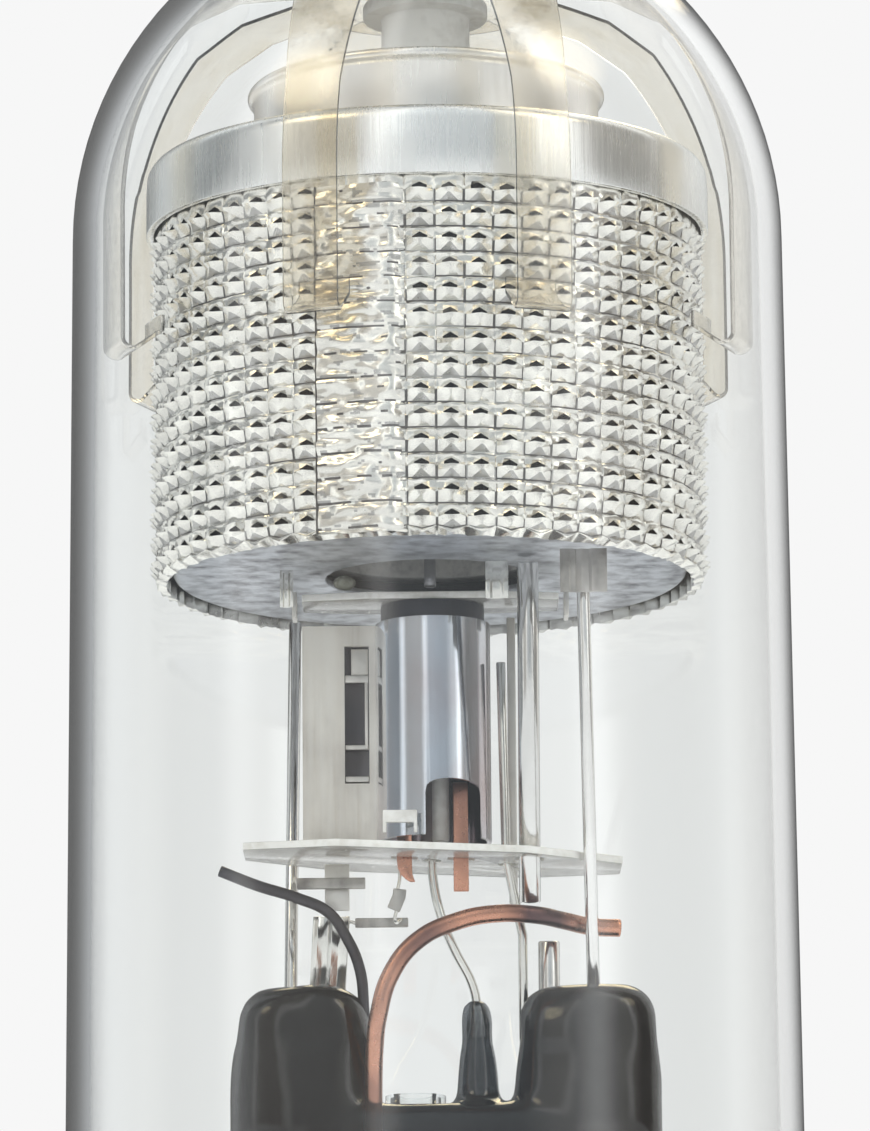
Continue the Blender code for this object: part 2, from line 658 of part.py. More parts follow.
def bracket_place():
    """Middle of the bracket that the right support rod is welded to."""
    return front(FLOOR_EDGE - 1.4 * MM, math.radians(39.7))


def support_rods(finishes):
    """Two rods that slant from the lobes up to the can's floor."""
    back_rim = front(FLOOR_EDGE - ROD_INSET, math.radians(-144.2))
    back_rim.z = FLOOR_UNDER - FIT
    weld = bracket_place() + Vector((0.0, THIN_SHEET / 2 + FIT + ROD_RADIUS, 0.0))
    weld.z = FLOOR_UNDER - FIT - BRACKET_HEIGHT + BRACKET_LAP
    wire = finishes["wire"]
    return [
        Lead("support_rod_left", [back_rim, Vector((left(-0.18), 0, SUNK))], (ROD_RADIUS,), wire),
        Lead("support_rod_right", [weld, Vector((right(0.1), 0, SUNK))], (ROD_RADIUS,), wire),
    ]


def heater_leads(finishes):
    """Thin rod beside the reservoir, short post, and flat strap under the lower mica."""
    wire = finishes["wire"]
    beside = RESERVOIR_RIGHT + FIT + HEATER_ROD_RADIUS
    upper, lower = Vector((beside, RESERVOIR_Y - 1.0 * MM, RESERVOIR_TOP - 2.2 * MM)), right(-0.86)
    rod_path = [upper, Vector((beside + 0.2 * MM, RESERVOIR_Y, LOWER_MICA_Z))]
    rod_path += [Vector((lower, 0, above_press(0.39))), Vector((lower, 0, SUNK))]
    post_x = right(-0.51)
    post_path = [Vector((post_x, -0.6 * MM, above_press(0.33))), Vector((post_x, 0, SUNK))]
    strap_x = left(0.33)
    strap = [Vector((strap_x + 0.25 * MM, -0.6 * MM, above_press(0.54)))]
    strap += [Vector((strap_x + 0.15 * MM, -0.5 * MM, above_press(0.3)))]
    strap += [Vector((strap_x, 0.4 * MM, PRESS_TOP)), Vector((strap_x, 0.4 * MM, SUNK))]
    return [
        Lead("heater_rod", rod_path, (HEATER_ROD_RADIUS,), wire),
        Lead("lower_post", post_path, (POST_RADIUS,), wire),
        Lead("heater_strap", smoothed(strap, 3), (STRAP_WIDTH, THIN_SHEET), wire),
    ]


def bent_wires(finishes):
    """Dark wire on the left, thin wire into the ridge, and the stout copper lead."""
    end = left(0.82)
    droop = ((-1.1, -2.4, 0.87), (-0.59, -2.4, 0.75), (-0.05, -2.3, 0.65), (0.36, -2.1, 0.54))
    droop += ((0.59, -1.6, 0.36), (0.77, -0.9, 0.12), (0.82, -0.7, -0.15))
    dark = [Vector((left(share), y * MM, above_press(height))) for share, y, height in droop]
    dark.append(Vector((end, -0.7 * MM, SUNK)))
    thin_x = RESERVOIR_X - 0.1 * MM
    thin = [Vector((thin_x, -1.0 * MM, height)) for height in (RESERVOIR_BOTTOM - FIT, above_press(0.85))]
    thin += [Vector((RIDGE_X - 1.8 * MM, -1.0 * MM, above_press(0.49)))]
    thin += [Vector((RIDGE_X - 1.2 * MM, -0.8 * MM, above_press(0.27)))]
    thin += [Vector((RIDGE_X - 0.2 * MM, -0.2 * MM, PRESS_TOP - 0.2 * MM))]
    thin += [Vector((RIDGE_X, 0, PRESS_TOP - 1.6 * MM)), Vector((RIDGE_X, 0, SUNK))]
    return [
        Lead("dark_lead", smoothed(dark, 2), (DARK_LEAD_RADIUS,), finishes["dark"]),
        Lead("thin_lead", smoothed(thin, 2), (THIN_LEAD_RADIUS,), finishes["wire"]),
        Lead("copper_lead", smoothed(copper_path(), 2), (COPPER_RADIUS,), finishes["copper"]),
    ]


def copper_path():
    """Rise of the copper lead before the press, and its bend over to the right."""
    bend = ((0.46, 0.42, -1.0), (0.08, 0.43, -1.1), (-0.31, 0.46, -2.0), (-0.69, 0.48, -3.2))
    points = [Vector((right(share), y * MM, above_press(height))) for share, height, y in bend]
    clear = -PRESS_HALF_DEPTH - 0.4 * MM
    crown = ((2.7, 0.485), (4.7, 0.43), (6.8, 0.28), (8.2, 0.02), (8.9, -0.32))
    points += [Vector((right(-0.54) - x * MM, clear, above_press(height))) for x, height in crown]
    entry = Vector((left(0.95), -PRESS_HALF_DEPTH / 2, PRESS_FLOOR))
    points += [entry + Vector((0.1 * MM, -1.3 * MM, 3.0 * MM)), entry + Vector((0, -0.3 * MM, 0.8 * MM))]
    points += [entry - Vector((0, 0, 1.2 * MM)), entry - Vector((0, 0, SOCKET_DEPTH))]
    return points


def hanging_leads(finishes):
    """Post, strip and tabs that pass the lower mica and end in the open."""
    wire, copper = finishes["wire"], finishes["copper"]
    head = front(FLOOR_HOLE_RADIUS + POST_INSET, math.radians(39))
    head.z = FLOOR_UNDER - FIT
    foot = Vector((head.x, RESERVOIR_Y - 1.7 * MM, head.z - POST_LENGTH))
    strip_top = Vector((RESERVOIR_RIGHT + STRIP_GAP, 1.0 * MM, UPPER_MICA_Z - MICA / 2 - FIT))
    left_top = Vector((TAB_X, TAB_Y, RESERVOIR_BOTTOM + 1.0 * MM))
    right_x = RESERVOIR_X + 0.46 * RESERVOIR_RADIUS
    right_top = Vector((right_x, TAB_Y - FIT, RESERVOIR_BOTTOM + NOTCH_HEIGHT))
    tab = TAB_WIDTH, THIN_SHEET
    return [
        Lead("cathode_post", [head, foot], (POST_RADIUS,), wire),
        Lead("flat_strip", drop_to(strip_top, strip_top.z - STRIP_LENGTH), (STRIP_WIDTH, THIN_SHEET), wire),
        Lead("copper_tab_left", drop_to(left_top, LOWER_MICA_Z - TAB_DROP), tab, copper),
        Lead("copper_tab_right", drop_to(right_top, LOWER_MICA_Z - TAB_DROP - 0.5 * MM), tab, copper),
    ]


def drop_to(top, height):
    """Upright path from a point down to a height."""
    return [top, Vector((top.x, top.y, height))]


def make_bars(finishes, strap):
    """Link and two bars welded to the strap below the lower mica, and a curled tab."""
    wire = finishes["wire"]
    top = strap.path[0]
    face = top.y - THIN_SHEET - FIT
    link = strip((top.x + 0.3 * MM, top.y), 1.3 * MM, top.z + FIT, LOWER_MICA_UNDER + 0.2 * MM)
    solid("strap_link", link, wire)
    bar = LOWER_MICA_UNDER - BAR_HEIGHT
    solid("upper_bar", strip((top.x, face), BAR_LENGTH, bar - BAR_HEIGHT, bar), wire)
    reach = top.x + STRAP_WIDTH / 2 + FIT
    solid("lower_bar", strip((reach + 1.4 * MM, top.y), 2.8 * MM, top.z - BAR_HEIGHT, top.z - 0.1 * MM), wire)
    low = LOWER_MICA_Z - TAB_DROP - FIT
    bends = ((-0.25, 0.0), (-0.3, -0.4), (-0.6, -1.1))
    curl = [Vector((TAB_X + x * MM, TAB_Y, low + z * MM)) for x, z in bends]
    solid("curled_tab", sweep(curl, flat_section(0.7 * MM, THIN_SHEET)), wire)


def oblong(length, depth, end):
    """Outline of a plate that narrows towards both ends."""
    half, deep, tip = length / 2, depth / 2, end / 2
    right_side = [(half * 0.5, -deep), (half, -tip), (half, tip), (half * 0.5, deep)]
    return right_side + [(-x, -y) for x, y in right_side]


def make_lower_mica(finishes, leads):
    """Mica plate a little out of square, pierced for what passes through it."""
    bm = plate(oblong(LOWER_MICA_LENGTH, LOWER_MICA_DEPTH, LOWER_MICA_END), -MICA / 2, MICA)
    place = Matrix.Translation((0, LOWER_MICA_Y, LOWER_MICA_Z)) @ Matrix.Rotation(LOWER_MICA_LEAN, 4, "Y")
    bmesh.ops.transform(bm, matrix=place, verts=bm.verts)
    mica = solid("lower_mica", bm, finishes["mica"])
    for lead in leads:
        level = LOWER_MICA_Z - lead.crossing(LOWER_MICA_Z)[0].x * math.tan(LOWER_MICA_LEAN)
        combine(mica, f"{lead.name}_slot", lead.passage(level, 4 * MICA), "DIFFERENCE")


def make_upper_mica(finishes):
    """Small mica plate over the reservoir, its end clips and its bead."""
    outline = oblong(UPPER_MICA_LENGTH, UPPER_MICA_DEPTH, UPPER_MICA_DEPTH * 0.7)
    sheet = moved(plate(outline, UPPER_MICA_Z - MICA / 2, MICA), (0, UPPER_MICA_Y, 0))
    solid("upper_mica", sheet, finishes["mica"])
    half = UPPER_MICA_LENGTH / 2 + FIT
    for name, x in (("mica_clip_left", -half - THIN_SHEET), ("mica_clip_right", half)):
        low = (x, UPPER_MICA_Y - CLIP_WIDTH / 2, RESERVOIR_TOP + FIT)
        high = (x + THIN_SHEET, UPPER_MICA_Y + CLIP_WIDTH / 2, UPPER_MICA_TOP + CLIP_RISE)
        solid(name, block(low, high), finishes["wire"])
    profile = [(0, 0)] + arc((0, BEAD_RADIUS), BEAD_RADIUS, -60, 60, 3) + [(0, 2 * BEAD_RADIUS)]
    bead = revolve([(radius, height * BEAD_FLATNESS) for radius, height in profile], COARSE_SIDES)
    spot = (-UPPER_MICA_LENGTH / 3, UPPER_MICA_Y - UPPER_MICA_DEPTH / 4, UPPER_MICA_TOP + FIT)
    solid("mica_bead", moved(bead, spot), finishes["copper"])


def make_reservoir(finishes):
    """Rolled reservoir cylinder with its flat wing, slotted, and notched at the foot."""
    inner = RESERVOIR_RADIUS - THIN_SHEET
    low, high = RESERVOIR_BOTTOM, RESERVOIR_TOP
    wall = [(inner, low), (RESERVOIR_RADIUS, low), (RESERVOIR_RADIUS, high), (inner, high)]
    tube = moved(revolve(wall, PLAIN_SIDES), (RESERVOIR_X, RESERVOIR_Y, 0))
    reservoir = solid("reservoir", tube, finishes["steel"])
    weld = THIN_SHEET / 2
    wing_x = RESERVOIR_LEFT + weld - (WING_WIDTH + weld) / 2
    combine(reservoir, "wing", strip((wing_x, RESERVOIR_Y), WING_WIDTH + weld, low, high), "UNION")
    slot_x = RESERVOIR_LEFT - WING_SLOT_INSET
    slot_top = high - WING_SLOT_DROP
    cut = flat_section(WING_SLOT_WIDTH, 4 * THIN_SHEET)
    ends = [Vector((slot_x, RESERVOIR_Y, height)) for height in (slot_top, slot_top - WING_SLOT_LENGTH)]
    combine(reservoir, "wing_slot", sweep(ends, cut), "DIFFERENCE")
    notch_x = RESERVOIR_X + NOTCH_OFFSET
    corner = (notch_x - NOTCH_WIDTH / 2, RESERVOIR_Y - 2 * RESERVOIR_RADIUS, low - MICA)
    notch = block(corner, (notch_x + NOTCH_WIDTH / 2, RESERVOIR_Y, low + NOTCH_HEIGHT))
    combine(reservoir, "notch", notch, "DIFFERENCE")


def make_reservoir_fittings(finishes):
    """White ceramic rod in the reservoir and the white clip at its foot."""
    core = rod(CORE_RADIUS, RESERVOIR_BOTTOM, RESERVOIR_TOP + CORE_RISE)
    solid("ceramic_core", moved(core, (CORE_RADIUS, RESERVOIR_Y - FIT, 0)), finishes["ceramic"])
    face = RESERVOIR_Y - RESERVOIR_RADIUS - FIT - THIN_SHEET / 2
    clip_x = TAB_X - 0.2 * MM
    clip = strip((clip_x, face), FOOT_CLIP_WIDTH, RESERVOIR_BOTTOM, RESERVOIR_BOTTOM + FOOT_CLIP_HEIGHT)
    solid("reservoir_clip", clip, finishes["ceramic"])


def make_floor_fittings(finishes):
    """Bracket and tabs that hang from the drum's floor."""
    under = FLOOR_UNDER - FIT
    foot = under - FLOOR_TAB_HEIGHT
    bracket = strip(bracket_place(), BRACKET_WIDTH, under - BRACKET_HEIGHT, under)
    solid("rod_bracket", bracket, finishes["wire"])
    left_tab = front(FLOOR_HOLE_RADIUS + 3.2 * MM, math.radians(-59))
    solid("floor_tab_left", strip(left_tab, 0.7 * MM, foot, under), finishes["wire"])
    middle_tab = front(FLOOR_HOLE_RADIUS + 1.8 * MM, math.radians(28))
    solid("floor_tab_middle", strip(middle_tab, 1.2 * MM, foot, under), finishes["copper"])


def make_floor(finishes):
    """Disc that closes the drum from below, with an upturned skirt and a central opening."""
    edge, inside = FLOOR_EDGE, FLOOR_EDGE - SHEET
    skirt = FLOOR_UNDER + FLOOR_SKIRT
    profile = [(FLOOR_HOLE_RADIUS, FLOOR_UNDER), (inside, FLOOR_UNDER), (edge, FLOOR_TOP), (edge, skirt)]
    profile += [(inside, skirt), (inside, FLOOR_TOP), (FLOOR_HOLE_RADIUS, FLOOR_TOP)]
    solid("drum_floor", revolve(profile, FINE_SIDES), finishes["band"])


def make_cathode(finishes):
    """Heat shield that stands on the floor, the cathode in it and its coiled heater."""
    foot, top = SHIELD_FOOT, SHIELD_TOP
    inside, flange, brim = SHIELD_RADIUS - SHEET, SHIELD_RADIUS + SHIELD_FLANGE, SHIELD_RADIUS - SHIELD_BRIM
    shield = [(inside, foot), (flange, foot), (flange, foot + SHEET), (SHIELD_RADIUS, foot + SHEET)]
    shield += [(SHIELD_RADIUS, top), (brim, top), (brim, top - SHEET), (inside, top - SHEET)]
    solid("heat_shield", revolve(shield, PLAIN_SIDES), finishes["band"])

    low, crown, bore = foot + CATHODE_LIFT, CATHODE_TOP, CATHODE_RADIUS - SHEET
    cup = [(bore, low), (inside - FIT, low), (inside - FIT, low + SHEET), (CATHODE_RADIUS, low + SHEET)]
    cup += [(CATHODE_RADIUS, crown), (0, crown), (0, crown - SHEET), (bore, crown - SHEET)]
    solid("cathode_cup", revolve(cup, PLAIN_SIDES), finishes["cathode"])

    coil_top = crown - SHEET - FIT - HEATER_WIRE
    steps = 6
    path = []
    for k in range(HEATER_TURNS * steps + 1):
        spot = front(HEATER_RADIUS, 2 * math.pi * k / steps)
        path.append(spot + Vector((0, 0, coil_top - HEATER_PITCH * k / steps)))
    leg_y = -min(HEATER_RADIUS, UPPER_MICA_DEPTH / 2)
    path.append(Vector((0, leg_y, path[-1].z - HEATER_LEG_BEND)))
    path.append(Vector((0, leg_y, UPPER_MICA_TOP + FIT)))
    solid("heater_coil", sweep(path, round_section(HEATER_WIRE, WIRE_SIDES)), finishes["tungsten"])


def make_baffle(finishes):
    """Slotted grid disc across the drum, between the cathode and the anode."""
    edge, inside = FLOOR_EDGE, FLOOR_EDGE - SHEET
    disc = [(0, BAFFLE_Z), (edge, BAFFLE_Z), (edge, BAFFLE_Z + BAFFLE_SKIRT)]
    disc += [(inside, BAFFLE_Z + BAFFLE_SKIRT), (inside, BAFFLE_Z + SHEET), (0, BAFFLE_Z + SHEET)]
    baffle = solid("grid_baffle", revolve(disc, PLAIN_SIDES), finishes["band"])
    middle = (ANODE_HUB_RADIUS + edge) / 2
    for k in range(BAFFLE_SLOT_COUNT):
        along = front(1.0, 2 * math.pi * k / BAFFLE_SLOT_COUNT)
        centre = along * middle + Vector((0, 0, BAFFLE_Z))
        reach = along * (BAFFLE_SLOT_LENGTH / 2)
        section = flat_section(4 * SHEET, BAFFLE_SLOT_WIDTH)
        slot = sweep([centre - reach, centre + reach], section, Vector((0, 0, 1)))
        combine(baffle, f"baffle_slot_{k + 1}", slot, "DIFFERENCE")


def drum_ring(bm, radius, height):
    """Ring of the drum's sheet with a corner on each column line."""
    turns = [DRUM_TURN + 2 * math.pi * k / DRUM_COLUMNS for k in range(DRUM_COLUMNS)]
    return [bm.verts.new(front(radius, turn) + Vector((0, 0, height))) for turn in turns]


def emboss_row(bm, below, above, bottom, pitch):
    """One row of four-sided points pressed out of the sheet, crushed along the lap."""
    for k in range(DRUM_COLUMNS):
        n = (k + 1) % DRUM_COLUMNS
        lapped = (k - LAP_COLUMN) % DRUM_COLUMNS < LAP_COLUMNS
        depth = EMBOSS_DEPTH * (LAP_CRUSH if lapped else 1.0)
        place = front(DRUM_OUTER + depth, DRUM_TURN + 2 * math.pi * (k + 0.5) / DRUM_COLUMNS)
        place.z = bottom + pitch * PEAK_SHARE
        peak = bm.verts.new(place)
        corners = (below[k], below[n], above[n], above[k])
        for a, b in zip(corners, corners[1:] + corners[:1]):
            bm.faces.new((a, b, peak))


def make_drum(finishes):
    """Embossed drum, rolled from one sheet and lapped at its seam, with a plain hem."""
    bm = bmesh.new()
    pitch = DRUM_HEIGHT / DRUM_ROWS
    levels = [CAN_BOTTOM + pitch * row for row in range(DRUM_ROWS + 1)]
    lines = [drum_ring(bm, DRUM_OUTER, level) for level in levels]
    for below, above, level in zip(lines, lines[1:], levels):
        emboss_row(bm, below, above, level, pitch)
    hem = CAN_BOTTOM + DRUM_HEIGHT + DRUM_HEM
    around = [lines[-1], drum_ring(bm, DRUM_OUTER, hem), drum_ring(bm, DRUM_INNER, hem)]
    around += [drum_ring(bm, DRUM_INNER, CAN_BOTTOM), lines[0]]
    for ring, after in zip(around, around[1:]):
        for k in range(DRUM_COLUMNS):
            n = (k + 1) % DRUM_COLUMNS
            bm.faces.new((ring[k], ring[n], after[n], after[k]))
    drum = solid("embossed_drum", bm, finishes["nickel"])
    drum.data.set_sharp_from_angle(angle=math.radians(10))


def make_collar(finishes):
    """Smooth drawn collar: a flat shoulder that turns down into the band."""
    hole = UPPER_CAN_RADIUS + FIT
    corner = (CAN_RADIUS - COLLAR_ROUND, CAN_TOP - COLLAR_ROUND)
    profile = [(hole, CAN_TOP)] + arc(corner, COLLAR_ROUND, 90, 0, 3) + [(CAN_RADIUS, COLLAR_BOTTOM)]
    profile += [(CAN_RADIUS - SHEET, COLLAR_BOTTOM)]
    profile += arc(corner, COLLAR_ROUND - SHEET, 0, 90, 1) + [(hole, CAN_TOP - SHEET)]
    solid("can_collar", revolve(profile, FINE_SIDES), finishes["band"])


def make_upper_can(finishes):
    """Small can over the anode, with a lipped lid and a flange under the collar."""
    inside, flange = UPPER_CAN_RADIUS - SHEET, UPPER_CAN_RADIUS + UPPER_CAN_FLANGE
    lip = UPPER_CAN_RADIUS + UPPER_CAN_LIP
    under = CAN_TOP - SHEET - FIT
    hole = SLEEVE_RADIUS + FIT
    lid = UPPER_CAN_TOP - SHEET
    profile = [(inside, under - SHEET), (flange, under - SHEET), (flange, under), (UPPER_CAN_RADIUS, under)]
    profile += [(UPPER_CAN_RADIUS, lid - SHEET), (lip, lid - SHEET / 2), (lip, UPPER_CAN_TOP - SHEET / 3)]
    profile += [(lip - SHEET / 3, UPPER_CAN_TOP), (hole, UPPER_CAN_TOP), (hole, lid), (inside, lid)]
    solid("upper_can", revolve(profile, PLAIN_SIDES), finishes["band"])


def make_anode(finishes):
    """Anode disc with the hub that its lead is sunk in."""
    hub_top = ANODE_TOP + ANODE_HUB_HEIGHT
    profile = [(0, ANODE_Z), (ANODE_RADIUS - ANODE_CHAMFER, ANODE_Z), (ANODE_RADIUS, ANODE_Z + ANODE_CHAMFER)]
    profile += [(ANODE_RADIUS, ANODE_TOP), (ANODE_HUB_RADIUS, ANODE_TOP), (ANODE_HUB_RADIUS, hub_top)]
    profile += [(SLEEVE_BORE, hub_top), (SLEEVE_BORE, ANODE_TOP), (0, ANODE_TOP)]
    solid("anode", revolve(profile, PLAIN_SIDES), finishes["tungsten"])


def make_sleeve(finishes):
    """Ceramic sleeve from the upper can to the dome, flanged on the lid and under the spring."""
    over = UPPER_CAN_TOP + FIT
    seat = SPRING_Z - LEAF / 2 - FIT
    foot = UPPER_CAN_TOP - 2 * SHEET
    top = DOME_Z + math.sqrt(BULB_INNER**2 - SLEEVE_RADIUS**2) - FIT
    flange, thick = SLEEVE_RADIUS + SLEEVE_FLANGE, SLEEVE_FLANGE_THICKNESS
    sleeve = [(SLEEVE_BORE, foot), (SLEEVE_RADIUS, foot), (SLEEVE_RADIUS, over), (flange, over)]
    sleeve += [(flange, over + thick), (SLEEVE_RADIUS, over + thick), (SLEEVE_RADIUS, seat - thick)]
    sleeve += [(flange, seat - thick), (flange, seat), (SLEEVE_RADIUS, seat), (SLEEVE_RADIUS, top)]
    sleeve.append((SLEEVE_BORE, top))
    solid("anode_sleeve", revolve(sleeve, COARSE_SIDES), finishes["ceramic"])


def make_cap(finishes):
    """Anode cap, the cement under it and the lead that it is soldered to."""
    inner, top = CAP_RADIUS - CAP_WALL, CAP_TOP - CAP_WALL
    outer = [(CAP_RADIUS, CAP_BOTTOM)]
    outer += arc((CAP_RADIUS - CAP_ROUND, CAP_TOP - CAP_ROUND), CAP_ROUND, 0, 90, 3)
    profile = outer + [(0, CAP_TOP), (0, top), (inner, top), (inner, CAP_BOTTOM)]
    solid("anode_cap", revolve(profile, PLAIN_SIDES), finishes["plated"])
    low, high = APEX + 2 * FIT, NIPPLE_TOP - FIT
    ring = [(NIPPLE_RADIUS + FIT, low), (inner - FIT, low), (inner - FIT, high), (NIPPLE_RADIUS + FIT, high)]
    solid("cap_cement", revolve(ring, PLAIN_SIDES), finishes["cement"])
    solid("anode_lead", rod(ANODE_LEAD_RADIUS, ANODE_TOP + FIT, top - FIT), finishes["tungsten"])


def leaf_path():
    """Run of one spring leaf from the hub: over the dome, down the glass, hooked onto the can."""
    glass = BULB_INNER - FIT - LEAF / 2
    can = max(CAN_RADIUS, DRUM_OUTER + EMBOSS_DEPTH) + FIT + LEAF / 2
    height = min((SPRING_Z - SPRING_DROP - DOME_Z) / glass, 0.95)
    path = arc((0, DOME_Z), glass, math.degrees(math.asin(height)), 0, 3)
    foot = DOME_Z - LEAF_REACH
    path += arc((glass - HOOK_RADIUS, foot + HOOK_RADIUS), HOOK_RADIUS, 0, -110, 2)
    path += [(can, foot + HOOK_RISE), (can, foot + HOOK_RISE + HOOK_LAND)]
    hub, root = (SPRING_HUB_RADIUS, SPRING_Z), path[0]
    knee = (hub[0] + (root[0] - hub[0]) * 0.55, hub[1] + (root[1] - hub[1]) * 0.3)
    return [hub, knee] + path


def make_spring(finishes):
    """Star cut from one mica leaf: a hub round the sleeve and eight sprung legs."""
    bm = bmesh.new()
    path = leaf_path()
    step = 2 * math.pi / SPRING_LEAF_COUNT
    spread = LEAF_ROOT_WIDTH / 2 / SPRING_HUB_RADIUS
    middles = [step * (k + 0.5) for k in range(SPRING_LEAF_COUNT)]
    turns = [middle + offset for middle in middles for offset in (-spread, spread, step / 2)]
    rim, eye = [
        [bm.verts.new(front(radius, turn) + Vector((0, 0, SPRING_Z))) for turn in turns]
        for radius in (SPRING_HUB_RADIUS, SLEEVE_RADIUS + FIT)
    ]
    for k in range(len(rim)):
        n = (k + 1) % len(rim)
        bm.faces.new((eye[k], eye[n], rim[n], rim[k]))
    for k, middle in enumerate(middles):
        last = rim[3 * k], rim[3 * k + 1]
        for number, (radius, height) in enumerate(path[1:], 1):
            narrow = min(number / 5, 1.0)
            half = (LEAF_ROOT_WIDTH + (LEAF_WIDTH - LEAF_ROOT_WIDTH) * narrow) / 2 / radius
            ends = [front(radius, middle + side * half) + Vector((0, 0, height)) for side in (-1, 1)]
            after = [bm.verts.new(end) for end in ends]
            bm.faces.new((last[0], last[1], after[1], after[0]))
            last = after
    spring = solid("mica_spring", bm, finishes["mica"])
    wall = spring.modifiers.new("leaf", "SOLIDIFY")
    wall.thickness = LEAF
    wall.offset = 0.0


def bulb_side(inset):
    """Bulb's outline from its neck to its widest place, moved in by a wall."""
    low, neck = BULB_RADIUS + BULB_SWELL - inset, NECK_RADIUS - inset
    points = [(neck, SEAL), (neck, BASE_TOP)]
    steps = 4
    for k in range(steps + 1):
        ease = (1 - math.cos(math.pi * k / steps)) / 2
        height = BASE_TOP + SHOULDER_LIFT + SHOULDER_HEIGHT * k / steps
        points.append((neck + (low - neck) * ease, height))
    return points


def make_bulb(finishes):
    """Blown bulb: an open-bottomed shell with a nipple round the anode lead."""
    dome_end = math.degrees(math.acos((NIPPLE_RADIUS + NIPPLE_ROUND) / BULB_RADIUS))
    outer = bulb_side(0.0) + arc((0, DOME_Z), BULB_RADIUS, 0, dome_end, 6)
    nipple = [(NIPPLE_RADIUS, APEX + FIT), (NIPPLE_RADIUS, NIPPLE_TOP - NIPPLE_ROUND)]
    nipple += [(NIPPLE_RADIUS - NIPPLE_ROUND, NIPPLE_TOP), (SLEEVE_BORE, NIPPLE_TOP)]
    bore_end = math.degrees(math.acos(SLEEVE_BORE / BULB_INNER))
    inner = arc((0, DOME_Z), BULB_INNER, bore_end, 0, 5) + bulb_side(GLASS_WALL)[::-1]
    solid("glass_bulb", revolve(outer + nipple + inner, FINE_SIDES), finishes["glass"])


def build():
    """Whole tube, from the base up."""
    for item in list(bpy.data.objects):
        bpy.data.objects.remove(item)
    finishes = make_finishes()
    into_press = support_rods(finishes) + heater_leads(finishes) + bent_wires(finishes)
    hanging = hanging_leads(finishes)
    into_pins = base_leads(finishes)
    for lead in into_press + hanging + into_pins:
        lead.build()
    make_base(finishes)
    make_bayonet_pin(finishes)
    make_insert(finishes)
    make_base_cement(finishes)
    make_pins(finishes)
    make_stem(finishes, into_press, into_pins)
    make_exhaust_tube(finishes)
    through_mica = [lead for lead in into_press if lead.path[0].z > LOWER_MICA_Z]
    make_lower_mica(finishes, through_mica + hanging)
    make_bars(finishes, next(lead for lead in into_press if lead.name == "heater_strap"))
    make_reservoir(finishes)
    make_reservoir_fittings(finishes)
    make_upper_mica(finishes)
    make_floor_fittings(finishes)
    make_floor(finishes)
    make_cathode(finishes)
    make_baffle(finishes)
    make_drum(finishes)
    make_collar(finishes)
    make_upper_can(finishes)
    make_anode(finishes)
    make_sleeve(finishes)
    make_spring(finishes)
    make_cap(finishes)
    make_bulb(finishes)


build()
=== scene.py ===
"""Dressed vacuum tube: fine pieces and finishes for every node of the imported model.

Sizes are in millimetres in the dataclasses and in metres in the meshes. +Z runs up the tube's axis,
the front faces -Y, and the origin lies between the pin tips.
"""

import json
import logging
import math
import random
from contextlib import contextmanager
from dataclasses import dataclass, field
from enum import Enum, IntEnum
from typing import Callable, Iterator, Optional, Sequence

import bpy
from mathutils import Matrix, Vector, noise

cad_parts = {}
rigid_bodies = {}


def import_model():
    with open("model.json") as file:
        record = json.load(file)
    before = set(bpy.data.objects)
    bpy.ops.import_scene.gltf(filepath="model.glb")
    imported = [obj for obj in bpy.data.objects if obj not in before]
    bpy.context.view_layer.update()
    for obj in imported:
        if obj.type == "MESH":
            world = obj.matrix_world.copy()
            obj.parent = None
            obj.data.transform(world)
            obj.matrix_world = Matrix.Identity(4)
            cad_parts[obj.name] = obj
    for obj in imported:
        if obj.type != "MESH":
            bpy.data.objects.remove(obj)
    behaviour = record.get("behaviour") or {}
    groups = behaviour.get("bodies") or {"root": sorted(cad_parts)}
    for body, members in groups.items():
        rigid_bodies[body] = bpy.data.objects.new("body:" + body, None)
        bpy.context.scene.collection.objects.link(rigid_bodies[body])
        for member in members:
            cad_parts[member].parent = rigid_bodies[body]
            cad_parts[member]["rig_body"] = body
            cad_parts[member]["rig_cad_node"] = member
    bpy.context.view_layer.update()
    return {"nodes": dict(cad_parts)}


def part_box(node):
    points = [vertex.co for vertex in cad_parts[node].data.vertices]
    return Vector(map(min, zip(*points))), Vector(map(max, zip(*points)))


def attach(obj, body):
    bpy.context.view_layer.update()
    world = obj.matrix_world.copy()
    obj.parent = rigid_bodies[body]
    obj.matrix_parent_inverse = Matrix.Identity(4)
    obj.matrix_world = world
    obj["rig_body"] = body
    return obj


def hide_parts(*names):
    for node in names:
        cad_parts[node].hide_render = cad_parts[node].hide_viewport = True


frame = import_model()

MM = 0.001
BODY = "root"
ROUND = 96
log = logging.getLogger("tube")

Point = tuple[float, float, float]
Outline = list[tuple[float, float]]
Piece = bpy.types.Object


# ---------------------------------------------------------------- modelling with operators


def only(piece: Piece) -> Piece:
    """Select one piece alone and make it active."""
    bpy.ops.object.select_all(action="DESELECT")
    piece.select_set(True)
    bpy.context.view_layer.objects.active = piece
    return piece


@contextmanager
def editing(piece: Piece) -> Iterator[None]:
    """Edit mode on one piece with all of it selected."""
    only(piece)
    bpy.ops.object.mode_set(mode="EDIT")
    bpy.ops.mesh.select_all(action="SELECT")
    yield
    bpy.ops.object.mode_set(mode="OBJECT")


def sealed(piece: Piece, gap: float = 1e-4) -> Piece:
    """Merge doubled points and turn the faces outwards.

    Args:
        piece: Mesh to tidy.
        gap: Distance in millimetres under which points are one.

    Returns:
        The same piece.
    """
    with editing(piece):
        bpy.ops.mesh.remove_doubles(threshold=gap * MM)
        bpy.ops.mesh.delete_loose(use_faces=False)
        bpy.ops.mesh.select_all(action="SELECT")
        bpy.ops.mesh.normals_make_consistent(inside=False)
    return piece


